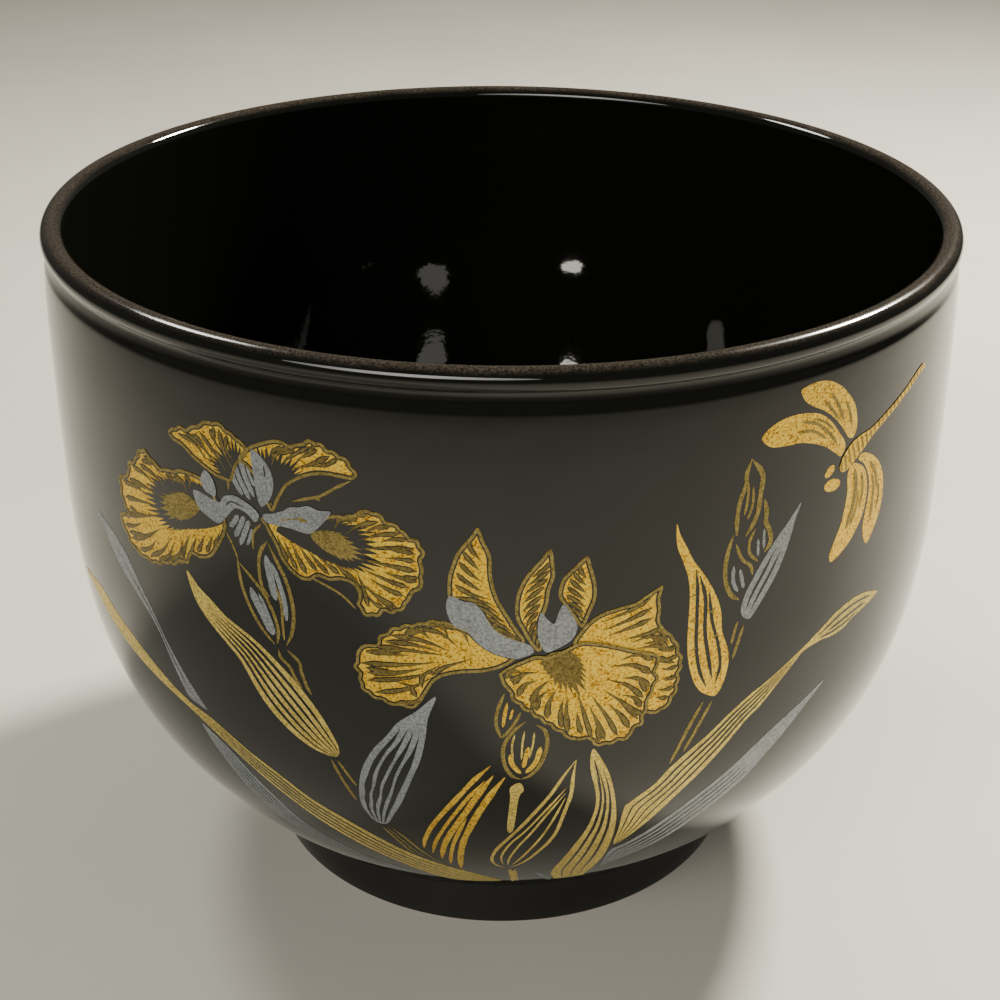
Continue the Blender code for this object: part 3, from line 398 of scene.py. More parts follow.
# Veins drawn one by one, from the border inwards.
PETAL_STROKES = {
    "left_iris_fall_right": [
        [(-28.6, 88.0), (-29.4, 89.8), (-30.2, 91.8)], [(-27.2, 86.8), (-28.2, 89.0), (-29.2, 91.6)],
        [(-25.8, 86.6), (-27.0, 89.0), (-28.0, 91.4)], [(-24.2, 87.4), (-25.6, 89.2), (-26.8, 91.0)],
        [(-22.4, 87.2), (-24.0, 88.8), (-25.6, 90.6)], [(-20.8, 87.5), (-22.4, 88.7), (-24.2, 90.0)],
        [(-19.0, 87.0), (-20.4, 88.2), (-22.0, 89.6)], [(-17.6, 84.6), (-18.6, 86.8), (-20.2, 89.0)],
        [(-16.9, 83.0), (-17.4, 85.6), (-18.4, 88.6)],
    ],
    "left_iris_fall_left": [
        [(-48.0, 82.9), (-47.0, 85.2), (-45.8, 87.6)], [(-46.3, 83.6), (-45.4, 85.6), (-44.4, 87.8)],
        [(-44.5, 85.0), (-43.7, 86.6), (-42.8, 88.4)], [(-42.8, 85.6), (-42.0, 87.2), (-41.2, 89.0)],
        [(-41.3, 86.9), (-40.6, 88.2), (-39.9, 89.8)],
    ],
    "centre_iris_fall_left": [
        [(-10.4, 68.8), (-11.4, 70.6), (-13.4, 71.2)], [(-9.6, 70.6), (-9.4, 72.6), (-6.8, 74.8)],
        [(-8.2, 72.8), (-6.2, 74.4), (-2.6, 75.9)],
    ],
    "centre_iris_fall_right": [
        [(22.4, 84.2), (19.0, 82.5), (15.2, 81.2)], [(22.6, 82.6), (19.4, 81.2), (15.4, 79.8)],
        [(22.6, 80.9), (19.8, 79.9), (16.2, 78.9)], [(24.2, 79.0), (21.8, 78.4), (18.6, 78.0)],
        [(25.4, 77.4), (23.6, 76.9), (21.4, 76.9)], [(26.6, 75.6), (25.0, 75.2), (23.4, 75.6)],
        [(26.9, 74.0), (25.4, 73.6), (24.2, 73.8)], [(27.0, 72.2), (25.6, 71.9), (24.4, 72.1)],
        [(26.8, 70.4), (25.6, 70.2), (24.5, 70.4)], [(26.6, 68.6), (25.2, 68.4), (24.0, 68.7)],
        [(25.9, 66.9), (24.8, 67.0), (23.7, 67.4)],
    ],
}

# Ragged shapes on the petals: (petal, slot, layer, throat, spikes, spike length, outline).
RAGGED = [
    ("left_iris_fall_left", "black_glaze", "line", (-41.0, 92.0), 44, 3.0, [
        (-40.2, 95.6), (-44.0, 96.4), (-48.0, 95.6), (-51.6, 94.4), (-53.4, 92.6), (-53.6, 90.4),
        (-52.0, 88.4), (-49.2, 87.4), (-46.0, 88.4), (-43.0, 89.4), (-40.4, 90.6), (-39.0, 92.0),
    ]),
    ("left_iris_fall_left", "line_gold", "top", (-43.8, 92.4), 20, 2.0, [
        (-43.3, 92.8), (-45.0, 93.8), (-46.7, 94.0), (-48.7, 93.2), (-50.2, 92.2), (-50.8, 91.2),
        (-50.3, 90.0), (-49.2, 89.3), (-46.7, 89.7), (-44.8, 90.8), (-43.6, 92.0),
    ]),
    ("left_iris_fall_right", "black_glaze", "line", (-27.4, 92.8), 40, 2.8, [
        (-27.4, 94.6), (-24.0, 95.6), (-20.6, 95.8), (-17.4, 94.8), (-16.2, 92.6), (-16.6, 90.6),
        (-18.4, 88.8), (-22.0, 89.2), (-25.4, 90.4), (-28.4, 91.6), (-30.2, 92.8),
    ]),
    ("left_iris_fall_right", "line_gold", "top", (-24.8, 93.1), 19, 1.9, [
        (-24.5, 93.5), (-22.7, 94.1), (-20.4, 93.9), (-18.9, 92.4), (-18.2, 90.8), (-19.7, 90.2),
        (-22.1, 90.6), (-23.9, 91.7), (-24.8, 92.7),
    ]),
    ("left_iris_standard_left", "black_glaze", "line", (-36.0, 99.6), 24, 2.4, [
        (-37.6, 99.0), (-39.2, 99.2), (-40.0, 100.4), (-39.2, 101.9), (-37.9, 103.3), (-36.6, 103.9),
        (-35.2, 103.2), (-35.6, 102.2), (-36.8, 100.6),
    ]),
    ("left_iris_standard_right", "black_glaze", "line", (-31.0, 98.6), 32, 2.6, [
        (-30.8, 96.6), (-29.6, 98.6), (-28.0, 100.4), (-26.6, 101.6), (-26.4, 102.6), (-27.8, 103.4),
        (-30.0, 104.0), (-32.2, 103.6), (-33.2, 102.6), (-32.4, 100.6),
    ]),
    ("centre_iris_fall_front", "vein_gold", "top", (9.4, 76.8), 22, 2.2, [
        (8.2, 76.8), (10.0, 77.1), (11.7, 76.5), (12.6, 75.0), (12.9, 73.2), (12.8, 71.8), (11.8, 70.6),
        (10.6, 71.2), (9.3, 72.0), (8.3, 73.2), (7.4, 74.4), (7.1, 75.6),
    ]),
]

# Elements that are drawn as lines on the bare glaze: (slot, width at the middle, points).
LINE_WORK = {
    "left_iris_pod_left": [
        ("line_gold", 0.55, [(-37.1, 86.4), (-36.9, 83.5), (-36.4, 81.1), (-35.4, 78.6), (-33.9, 76.0),
            (-31.8, 73.7)]),
        ("line_gold", 0.55, [(-37.0, 85.9), (-34.6, 83.6), (-32.8, 81.4), (-31.6, 78.9), (-31.0, 76.2),
            (-31.3, 73.9)]),
        ("line_gold", 0.35, [(-38.7, 90.2), (-37.7, 88.2), (-37.0, 86.4)]),
        ("silver", 1.3, [(-35.2, 82.2), (-34.4, 80.2), (-33.2, 77.9), (-31.9, 75.2)]),
        ("silver", 0.6, [(-33.9, 81.6), (-33.0, 79.6), (-32.2, 77.4), (-31.6, 75.4)]),
    ],
    "left_iris_pod_right": [
        ("line_gold", 0.55, [(-31.8, 90.5), (-33.0, 88.6), (-33.5, 86.0), (-33.2, 83.0), (-32.1, 81.4)]),
        ("line_gold", 0.6, [(-31.7, 90.2), (-30.5, 87.7), (-29.2, 84.9), (-28.5, 82.0), (-28.3, 79.2),
            (-28.8, 76.2), (-29.8, 74.0)]),
        ("line_gold", 0.4, [(-32.6, 93.0), (-34.0, 91.2), (-34.2, 88.6)]),
        ("line_gold", 0.45, [(-30.9, 83.6), (-30.2, 80.6), (-30.2, 77.4), (-30.1, 74.8)]),
        ("silver", 1.2, [(-32.2, 88.2), (-31.8, 85.6), (-31.4, 83.0), (-31.0, 81.2)]),
        ("silver", 0.8, [(-31.3, 87.2), (-30.4, 84.4), (-29.7, 81.4), (-29.5, 78.2)]),
    ],
    "left_iris_stem_upper": [
        ("line_gold", 0.55, [(-31.2, 73.0), (-30.9, 71.6), (-29.6, 70.4), (-28.7, 68.4), (-27.8, 66.9)]),
        ("line_gold", 0.55, [(-29.7, 73.2), (-28.0, 71.7), (-27.7, 70.0), (-27.0, 67.6), (-26.3, 66.2)]),
    ],
    "left_iris_stem_middle": [
        ("line_gold", 0.55, [(-24.5, 54.4), (-23.5, 51.3), (-22.5, 48.4), (-21.5, 45.9)]),
        ("line_gold", 0.5, [(-23.4, 54.4), (-22.3, 52.2), (-21.0, 49.6)]),
    ],
    "left_iris_stem_lower": [
        ("line_gold", 0.55, [(-18.3, 39.6), (-16.6, 36.6), (-14.9, 32.9), (-13.8, 31.2)]),
        ("line_gold", 0.55, [(-16.5, 39.7), (-14.5, 36.6), (-12.0, 32.0), (-10.0, 29.0), (-8.6, 27.2)]),
        ("line_gold", 0.35, [(-17.4, 39.6), (-15.6, 36.4), (-13.6, 32.4), (-11.6, 29.8)]),
    ],
    "centre_iris_pod_upper": [
        ("line_gold", 0.5, [(2.0, 70.2), (1.1, 67.5), (0.8, 64.8), (1.5, 62.2)]),
        ("line_gold", 0.5, [(4.3, 66.9), (3.4, 64.8), (2.4, 63.2), (1.6, 62.2)]),
        ("bright_gold", 0.5, [(2.4, 68.6), (2.0, 66.2), (1.8, 64.2)]),
        ("bright_gold", 0.4, [(3.2, 67.4), (2.8, 65.6)]),
    ],
    "centre_iris_pod_lower": [
        ("line_gold", 0.6, [(5.0, 65.2), (3.3, 63.4), (1.9, 60.6), (2.0, 57.3), (3.0, 54.9), (4.4, 54.0)]),
        ("line_gold", 0.6, [(6.4, 64.6), (7.8, 63.4), (8.2, 60.6), (7.4, 57.2), (6.0, 54.9), (4.5, 54.0)]),
        ("antique_gold", 0.3, [(3.5, 62.8), (3.1, 60.6), (3.3, 58.0)]),
        ("antique_gold", 0.3, [(4.9, 63.4), (4.6, 61.0), (4.5, 58.0)]),
        ("antique_gold", 0.3, [(6.3, 63.2), (6.1, 60.8), (5.6, 58.2)]),
        ("bright_gold", 0.75, [(2.8, 59.0), (3.2, 57.0), (4.4, 55.2)]),
        ("bright_gold", 0.8, [(7.3, 60.4), (6.6, 57.4), (5.2, 55.3)]),
        ("bright_gold", 0.7, [(5.5, 60.4), (5.1, 58.2), (4.8, 56.4)]),
    ],
    "centre_iris_stem_foot": [
        ("antique_gold", 1.1, [(3.2, 25.7), (3.8, 21.0), (4.1, 16.0)]),
        ("antique_gold", 0.5, [(4.1, 25.5), (4.6, 21.0), (5.0, 16.2)]),
    ],
    "front_leaf_left": [
        ("antique_gold", 0.62, [(12.6, 57.4), (12.3, 54.0), (12.2, 50.0), (11.4, 45.4), (10.6, 40.7),
            (9.4, 37.0), (7.9, 34.0), (6.3, 30.8), (4.7, 28.4), (3.2, 26.9)]),
        ("antique_gold", 0.62, [(12.5, 57.2), (10.9, 54.3), (8.9, 50.0), (6.7, 46.0), (4.4, 41.8),
            (2.2, 38.0), (0.6, 34.7), (-0.1, 31.0), (0.6, 28.3), (2.2, 26.7)]),
        ("antique_gold", 0.42, [(11.4, 51.6), (8.4, 46.4), (5.4, 41.0), (3.0, 37.0), (1.6, 32.4),
            (1.9, 28.6)]),
        ("antique_gold", 0.42, [(11.3, 50.4), (8.6, 45.2), (6.2, 40.0), (4.2, 35.6), (3.0, 31.4),
            (2.8, 28.0)]),
        ("antique_gold", 0.42, [(11.4, 49.4), (9.8, 44.0), (8.2, 39.2), (6.4, 34.8), (4.8, 31.0),
            (3.6, 28.4)]),
    ],
    "striped_gold_leaf": [
        ("bright_gold", 0.84, [(0.0, 56.8), (-2.5, 53.7), (-5.0, 49.8), (-7.8, 45.2), (-9.8, 41.3),
            (-11.2, 37.4), (-11.8, 34.3)]),
        ("bright_gold", 0.64, [(-0.9, 53.6), (-3.3, 50.0), (-5.9, 45.2), (-7.9, 40.9), (-9.5, 36.7),
            (-10.5, 32.5)]),
        ("bright_gold", 1.0, [(0.4, 54.8), (-1.7, 51.0), (-3.7, 46.7), (-5.4, 43.0), (-7.0, 39.2),
            (-8.2, 35.4), (-9.1, 30.3)]),
        ("bright_gold", 0.68, [(-3.9, 44.6), (-5.3, 40.6), (-6.5, 36.4), (-7.3, 32.0), (-7.8, 27.9)]),
        ("bright_gold", 1.1, [(2.1, 54.4), (0.3, 51.2), (-1.7, 46.8), (-3.3, 42.4), (-4.7, 37.7),
            (-5.6, 32.0), (-6.1, 25.6)]),
    ],
    "striped_bud_stem": [
        ("line_gold", 0.6, [(31.7, 64.6), (29.9, 60.6), (28.6, 56.9), (27.5, 53.6)]),
        ("line_gold", 0.55, [(33.2, 64.4), (31.2, 59.7), (29.5, 55.6)]),
    ],
    "tall_bud_stem": [
        ("line_gold", 0.5, [(36.3, 77.4), (35.8, 75.4), (35.5, 73.8)]),
        ("line_gold", 0.5, [(37.4, 76.5), (36.6, 73.6), (35.9, 71.0)]),
    ],
    "tall_bud": [
        ("line_gold", 0.7, [(36.7, 103.1), (36.0, 101.0), (36.0, 99.4), (35.2, 97.0), (34.9, 94.4),
            (35.0, 91.6)]),
        ("line_gold", 0.7, [(34.5, 91.9), (33.8, 89.4), (33.5, 86.6), (33.9, 84.0), (34.9, 82.0),
            (36.2, 81.0)]),
        ("line_gold", 0.8, [(36.8, 102.9), (38.0, 101.4), (38.7, 99.9), (38.5, 97.0), (38.3, 94.8),
            (37.7, 93.0), (36.5, 91.2)]),
        ("line_gold", 0.75, [(39.3, 96.4), (39.8, 94.2), (39.8, 92.6), (40.6, 91.0), (40.9, 89.2),
            (40.0, 87.8)]),
        ("line_gold", 0.45, [(37.2, 98.8), (37.3, 96.0), (36.6, 93.8)]),
        ("line_gold", 0.45, [(36.4, 99.6), (36.4, 96.6), (36.0, 94.6)]),
        ("line_gold", 0.5, [(38.1, 92.0), (37.3, 90.3), (37.4, 88.3), (38.9, 86.6)]),
        ("line_gold", 0.5, [(35.0, 90.3), (36.2, 87.6), (37.7, 86.2), (38.2, 84.6)]),
        ("silver", 0.6, [(34.9, 86.8), (35.0, 84.2), (35.9, 82.4)]),
        ("silver", 0.6, [(36.0, 86.0), (36.5, 84.0), (36.8, 82.8)]),
        ("silver", 0.45, [(38.7, 90.2), (38.9, 87.4)]),
        ("silver", 0.45, [(39.6, 91.6), (39.8, 88.4)]),
    ],
    "left_iris_petal_hatched": [
        ("silver", 0.8, [(-37.0, 100.4), (-36.6, 98.7), (-35.4, 96.8)]),
        ("silver", 0.8, [(-36.5, 101.5), (-35.7, 99.2), (-34.2, 96.4)]),
        ("silver", 0.85, [(-35.4, 102.2), (-34.8, 99.9), (-33.5, 97.0)]),
        ("silver", 0.55, [(-34.4, 101.9), (-34.0, 100.2), (-33.3, 98.6)]),
    ],
    "left_iris_petal_lower": [
        ("silver", 0.75, [(-38.0, 91.2), (-37.2, 92.1), (-36.4, 93.4)]),
        ("silver", 0.8, [(-37.2, 89.8), (-36.4, 91.3), (-35.4, 93.5)]),
        ("silver", 0.8, [(-36.4, 88.7), (-35.6, 90.6), (-34.6, 93.0)]),
        ("silver", 0.5, [(-35.2, 89.0), (-34.6, 90.4), (-34.2, 91.8)]),
    ],
}

# Thin lines that lie over filled shapes, or behind them: (slot, layer, width, points).
OVERLAYS = {
    "right_gold_blade": [
        ("black_glaze", "gap", 0.42, [(65.6, 71.2), (62.4, 71.7), (59.0, 71.6), (55.8, 70.7),
            (52.6, 69.3)]),
        ("black_glaze", "gap", 0.46, [(64.0, 70.6), (61.2, 70.5), (58.2, 70.0), (54.8, 69.4)]),
        ("black_glaze", "gap", 0.34, [(61.6, 69.9), (58.8, 69.1), (56.0, 68.8), (53.0, 68.8)]),
    ],
    "front_leaf_right": [
        ("black_glaze", "gap", 0.3, [(15.3, 57.0), (16.2, 53.4), (16.9, 49.6), (17.3, 45.6)]),
    ],
    "left_iris_style_left": [
        ("black_glaze", "gap", 0.24, [(-38.4, 94.4), (-37.4, 95.3), (-35.6, 95.0)]),
    ],
    "left_iris_style_right": [
        ("line_gold", "gap", 0.2, [(-29.8, 94.3), (-27.8, 94.8), (-25.6, 95.5)]),
    ],
    "left_iris_standard_right": [
        ("line_gold", "fill", 0.42, [(-18.6, 102.2), (-20.6, 101.0), (-23.2, 99.2), (-25.6, 98.3),
            (-27.4, 97.6)]),
        ("line_gold", "fill", 0.34, [(-24.4, 98.8), (-23.2, 98.6)]),
    ],
    "left_iris_standard_left": [
        ("line_gold", "fill", 0.42, [(-36.4, 102.6), (-37.4, 101.4), (-37.6, 99.2), (-37.8, 97.0)]),
    ],
    "left_iris_fall_right": [
        ("line_gold", "fill", 0.4, [(-25.2, 86.2), (-22.9, 85.4), (-20.6, 84.2), (-18.7, 82.4)]),
    ],
    "left_iris_petal_centre": [
        ("black_glaze", "gap", 0.22, [(-31.6, 102.2), (-31.4, 100.4)]),
    ],
    "striped_bud": [
        ("black_glaze", "gap", 0.55, [(28.9, 87.6), (29.3, 84.6), (29.5, 80.0), (29.7, 75.0), (30.5, 70.6),
            (31.9, 67.2)]),
        ("black_glaze", "gap", 0.6, [(29.6, 86.4), (30.7, 82.4), (30.9, 77.4), (31.7, 73.0), (32.7, 68.6)]),
        ("black_glaze", "gap", 0.5, [(31.2, 83.6), (32.0, 78.6), (33.2, 74.6), (33.9, 70.6), (33.3, 67.4)]),
        ("line_gold", "line", 0.28, [(28.4, 83.2), (29.1, 83.6)]),
        ("line_gold", "line", 0.28, [(28.5, 79.2), (29.3, 79.6)]),
        ("line_gold", "line", 0.28, [(28.8, 74.2), (29.7, 74.6)]),
        ("line_gold", "line", 0.28, [(31.3, 80.0), (32.4, 80.6)]),
        ("line_gold", "line", 0.28, [(32.2, 75.6), (33.2, 76.2)]),
    ],
    "dragonfly_wing_upper_rear": [
        ("line_gold", "line", 0.5, [(50.4, 109.6), (52.0, 107.4), (53.4, 104.6)]),
        ("line_gold", "line", 0.42, [(49.2, 108.8), (50.8, 107.0), (52.2, 105.2)]),
        ("line_gold", "line", 0.42, [(53.6, 107.6), (54.6, 105.6), (55.2, 103.4)]),
    ],
    "dragonfly_wing_upper_front": [
        ("line_gold", "line", 0.48, [(45.0, 106.6), (48.0, 105.6), (50.8, 103.2), (52.4, 101.2)]),
        ("line_gold", "line", 0.42, [(44.6, 105.2), (47.4, 104.6), (50.0, 102.8)]),
        ("line_gold", "line", 0.36, [(47.4, 106.5), (49.6, 105.4), (51.4, 103.8)]),
    ],
    "dragonfly_wing_lower_front": [
        ("line_gold", "line", 0.8, [(57.0, 96.0), (57.6, 93.0), (57.3, 89.4), (56.2, 86.4)]),
        ("line_gold", "line", 0.4, [(58.8, 94.8), (59.4, 91.8), (59.0, 88.8)]),
        ("line_gold", "line", 0.34, [(58.4, 92.0), (58.2, 89.0), (57.0, 86.4)]),
    ],
    "dragonfly_wing_lower_rear": [
        ("line_gold", "line", 0.5, [(60.6, 96.0), (62.4, 93.6), (63.2, 90.8)]),
        ("line_gold", "line", 0.42, [(61.4, 93.8), (62.3, 91.2), (62.4, 88.4), (62.3, 85.6)]),
        ("line_gold", "line", 0.38, [(63.6, 91.4), (64.0, 89.2), (63.6, 87.0)]),
    ],
}

# Elements with cross lines from tip to base: (slot, width, how many segments).
SEGMENTED = {"dragonfly_body": ("line_gold", 0.3, 24)}

# Elements that lie over their neighbours' edges, and elements with an olive border.
ON_TOP = {
    "left_iris_style_left", "left_iris_style_right", "left_iris_petal_small", "left_iris_petal_centre",
    "centre_iris_fall_front", "centre_iris_style_left", "centre_iris_style_right", "dragonfly_body",
}
BORDERED = {
    "left_iris_standard_left", "left_iris_standard_right", "left_iris_fall_left", "left_iris_fall_right",
    "centre_iris_standard_left", "centre_iris_standard_middle", "centre_iris_standard_right",
    "centre_iris_fall_left", "centre_iris_fall_right", "centre_iris_fall_front",
}


# ---- curves on the flat sheet ----
def spline_through(points, samples, closed=False):
    """A smooth curve through the points (Catmull-Rom), with this many samples to each span."""
    if closed:
        ends = [points[-1]] + list(points) + [points[0], points[1]]
    else:
        ends = [tuple(2 * a - b for a, b in zip(points[0], points[1]))] + list(points)
        ends.append(tuple(2 * a - b for a, b in zip(points[-1], points[-2])))
    curve = []
    for before, start, stop, after in zip(ends, ends[1:], ends[2:], ends[3:]):
        for step in range(samples):
            t = step / samples
            point = []
            for a, b, c, d in zip(before, start, stop, after):
                square = (2 * a - 5 * b + 4 * c - d) * t**2
                cube = (3 * b - a - 3 * c + d) * t**3
                point.append(0.5 * (2 * b + (c - a) * t + square + cube))
            curve.append(tuple(point))
    if not closed:
        curve.append(tuple(points[-1]))
    return curve


def arc(centre, half_width, half_height, start_deg, end_deg, count):
    """Points along part of an ellipse, both ends included."""
    turns = [math.radians(start_deg + (end_deg - start_deg) * i / (count - 1)) for i in range(count)]
    return [(centre[0] + half_width * math.cos(t), centre[1] + half_height * math.sin(t)) for t in turns]


def lengths_along(points):
    """The distance along a line of points, at each of them."""
    lengths = [0.0]
    for a, b in zip(points, points[1:]):
        lengths.append(lengths[-1] + math.dist(a, b))
    return lengths


def point_at(points, lengths, share):
    """The point at this share, from 0 to 1, of the way along a line of points."""
    distance = min(max(share, 0.0), 1.0) * lengths[-1]
    last = len(points) - 2
    i = next((k for k in range(last) if lengths[k + 1] >= distance), last)
    step = lengths[i + 1] - lengths[i] or 1.0
    part = (distance - lengths[i]) / step
    return tuple(a + (b - a) * part for a, b in zip(points[i], points[i + 1]))


def turned_right(points, closed):
    """The unit vector to the right of the line at each of its points."""
    sides = []
    count = len(points)
    for i in range(count):
        before = points[i - 1] if closed or i else points[i]
        after = points[(i + 1) % count] if closed or i < count - 1 else points[i]
        along = Vector((after[0] - before[0], after[1] - before[1]))
        along = along.normalized() if along.length else Vector((1.0, 0.0))
        sides.append(Vector((along.y, -along.x)))
    return sides


def signed_area(points):
    """The area inside a closed outline, above zero where it runs anticlockwise."""
    return 0.5 * sum(a[0] * b[1] - b[0] * a[1] for a, b in zip(points, points[1:] + points[:1]))


class WallCurve:
    """The wall's outer side, read by the distance up it from the foot."""

    def __init__(self):
        self.points = spline_through(WALL_POINTS, WALL_SAMPLES)
        self.lengths = lengths_along(self.points)

    def at(self, distance):
        """The (radius, height) at this distance, and the outward normal there."""
        last = len(self.points) - 2
        i = next((k for k in range(last) if self.lengths[k + 1] >= distance), last)
        a, b = self.points[i], self.points[i + 1]
        share = (distance - self.lengths[i]) / (self.lengths[i + 1] - self.lengths[i])
        along = Vector((b[0] - a[0], b[1] - a[1])).normalized()
        place = Vector((a[0] + (b[0] - a[0]) * share, a[1] + (b[1] - a[1]) * share))
        return place, Vector((along.y, -along.x))

    def on_bowl(self, x, y, lift):
        """The sheet's point (x, y) on the bowl, this far off the glaze, in metres."""
        place, normal = self.at(y)
        radius = place.x + normal.x * lift
        height = place.y + normal.y * lift
        turn = x / SHEET_RADIUS
        return Vector((radius * math.sin(turn), -radius * math.cos(turn), height)) * MM


# ---- drawing one printed element ----
class Print:
    """Gathers the flat shapes of one printed element, then bends them round the wall as one mesh."""

    def __init__(self, name, wall):
        self.name = name
        self.wall = wall
        self.mesh = bmesh.new()
        self.slots = []
        self.base = RAISED if name in ON_TOP else 0.0

    def slot_index(self, slot):
        """The place of this slot's material on the mesh."""
        if slot not in self.slots:
            self.slots.append(slot)
        return self.slots.index(slot)

    def add_faces(self, points, faces, layer, slot):
        """Bends flat faces, given as lists of point numbers, on to the wall at the layer's height."""
        lift = LAYERS[layer] + self.base
        index = self.slot_index(slot)
        verts = {}
        for face in faces:
            for i in face:
                if i not in verts:
                    verts[i] = self.mesh.verts.new(self.wall.on_bowl(points[i][0], points[i][1], lift))
            made = self.mesh.faces.new([verts[i] for i in face])
            made.material_index = index
            made.smooth = True

    def patch(self, outline, layer, slot):
        """A filled shape, with points inside it so that it can bend."""
        if signed_area(outline) < 0:
            outline = outline[::-1]
        low_x, high_x = min(p[0] for p in outline), max(p[0] for p in outline)
        low_y, high_y = min(p[1] for p in outline), max(p[1] for p in outline)
        points = [Vector(p) for p in outline]
        for i in range(1, int((high_x - low_x) / GRID_STEP) + 1):
            for j in range(1, int((high_y - low_y) / GRID_STEP) + 1):
                points.append(Vector((low_x + i * GRID_STEP, low_y + (j + 0.5 * (i % 2)) * GRID_STEP)))
        border = [list(range(len(outline)))]
        verts, _, faces, _, _, _ = delaunay_2d_cdt(points, [], border, 1, 1e-5)
        flat = [(v.x, v.y) for v in verts]
        faces = [f if signed_area([flat[i] for i in f]) > 0 else f[::-1] for f in faces]
        self.add_faces(flat, faces, layer, slot)

    def ribbon(self, points, width, layer, slot, ends=(0.0, 0.0), taper=(0.17, 0.17), closed=False,
               wobble=0.0):
        """A stroke along the points.  It swells from each end's share of the width over that end's taper.
        The wobble is the share by which its width wavers."""
        sides = turned_right(points, closed)
        lengths = lengths_along(points)
        flat = []
        for i, (point, side) in enumerate(zip(points, sides)):
            share = lengths[i] / lengths[-1]
            swell = 1.0
            if not closed:
                swell = min(1.0, ends[0] + share / taper[0], ends[1] + (1.0 - share) / taper[1])
            wave = math.sin(WOBBLE_RATE * lengths[i] + WOBBLE_SHIFT * point[0])
            half = 0.5 * width * swell * (1.0 + wobble * wave)
            flat.append((point[0] - side.x * half, point[1] - side.y * half))
            flat.append((point[0] + side.x * half, point[1] + side.y * half))
        count = len(points)
        spans = range(count if closed else count - 1)
        faces = []
        for i in spans:
            j = (i + 1) % count
            faces.append([2 * i, 2 * i + 1, 2 * j + 1, 2 * j])
        self.add_faces(flat, faces, layer, slot)

    def finish(self, materials):
        """Turns the gathered shapes into the piece that stands for its CAD node."""
        mesh = bpy.data.meshes.new(self.name + "_print")
        self.mesh.to_mesh(mesh)
        self.mesh.free()
        for slot in self.slots:
            mesh.materials.append(materials[slot])
        piece = bpy.data.objects.new(self.name + "_print", mesh)
        bpy.context.scene.collection.objects.link(piece)
        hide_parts(self.name)
        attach(piece, "root")


def inset(outline, depth):
    """The closed outline moved inwards by this depth."""
    sign = -1.0 if signed_area(outline) > 0 else 1.0
    sides = turned_right(outline, True)
    return [(p[0] + sign * s.x * depth, p[1] + sign * s.y * depth) for p, s in zip(outline, sides)]


def leaf_sides(outline):
    """Splits a leaf's outline, which starts at its tip, into its two sides from tip to base."""
    tip = outline[0]
    base = max(range(len(outline)), key=lambda i: math.dist(tip, outline[i]))
    return outline[:base + 1], [tip] + outline[:base - 1:-1]


def rib(outline, across, start, stop, steps=36):
    """A line along a leaf, this share of the way across it."""
    first, second = leaf_sides(outline)
    first_lengths, second_lengths = lengths_along(first), lengths_along(second)
    line = []
    for i in range(steps + 1):
        share = start + (stop - start) * i / steps
        a = point_at(first, first_lengths, share)
        b = point_at(second, second_lengths, share)
        line.append((a[0] + (b[0] - a[0]) * across, a[1] + (b[1] - a[1]) * across))
    return line


def draw_gaps(drawing, outline, count, start, stop, width, wobble):
    """Dark gaps along a leaf, side by side.  The outer ones start a little farther from its tip."""
    for i in range(count):
        across = (i + 1) / (count + 1)
        late = 0.10 * abs(across - 0.5) * (stop - start)
        line = rib(outline, across, start + late, stop)
        drawing.ribbon(line, width, "gap", "black_glaze", (0.05, 0.14), (0.3, 0.4), wobble=wobble)


def ruffle(smooth, first, last):
    """Scallops a smooth outline between two of its points as drawn, with notches that point inwards."""
    outward = 1.0 if signed_area(smooth) > 0 else -1.0
    sides = turned_right(smooth, True)
    lengths = lengths_along(smooth)
    start, stop = first * OUTLINE_SAMPLES, last * OUTLINE_SAMPLES
    ruffled = []
    for i, (point, side) in enumerate(zip(smooth, sides)):
        fade = max(0.0, min(1.0, (i - start) / RUFFLE_FADE, (stop - i) / RUFFLE_FADE))
        wave = abs(math.sin(math.pi * lengths[i] / RUFFLE_PITCH + 0.8 * math.sin(0.4 * lengths[i]))) - 0.5
        move = outward * fade * wave * RUFFLE_DEPTH
        ruffled.append((point[0] + side.x * move, point[1] + side.y * move))
    return ruffled


def ragged_outline(outline, throat, spikes, spike_length):
    """The outline with spikes that point away from the throat, longer the farther they are from it."""
    smooth = spline_through(outline, LINE_SAMPLES, closed=True)
    loop = smooth + smooth[:1]
    lengths = lengths_along(loop)
    far = max(math.dist(throat, p) for p in smooth)
    chance = random.Random(spikes)
    ragged = []
    for i in range(2 * spikes):
        point = Vector(point_at(loop, lengths, (i + chance.uniform(-0.3, 0.3)) / (2 * spikes)))
        away = point - Vector(throat)
        reach = spike_length * (away.length / far) ** 2 * chance.uniform(0.45, 1.0)
        ragged.append(tuple(point + away.normalized() * (reach if i % 2 else -0.4 * reach)))
    return ragged


def draw_vein(drawing, line, width, taper=(0.18, 0.75)):
    """An olive stroke that tapers at both ends, with a thin dark outline."""
    drawing.ribbon(line, width + 2 * VEIN_EDGE, "gap", "black_glaze", (0.1, 0.0), taper, wobble=0.12)
    drawing.ribbon(line, width, "line", "vein_gold", (0.0, 0.0), taper, wobble=0.14)


def is_inside(outline, point):
    """Whether the point lies within the closed outline."""
    x, y = point
    inside = False
    for a, b in zip(outline, outline[1:] + outline[:1]):
        if (a[1] > y) != (b[1] > y) and x < a[0] + (b[0] - a[0]) * (y - a[1]) / (b[1] - a[1]):
            inside = not inside
    return inside


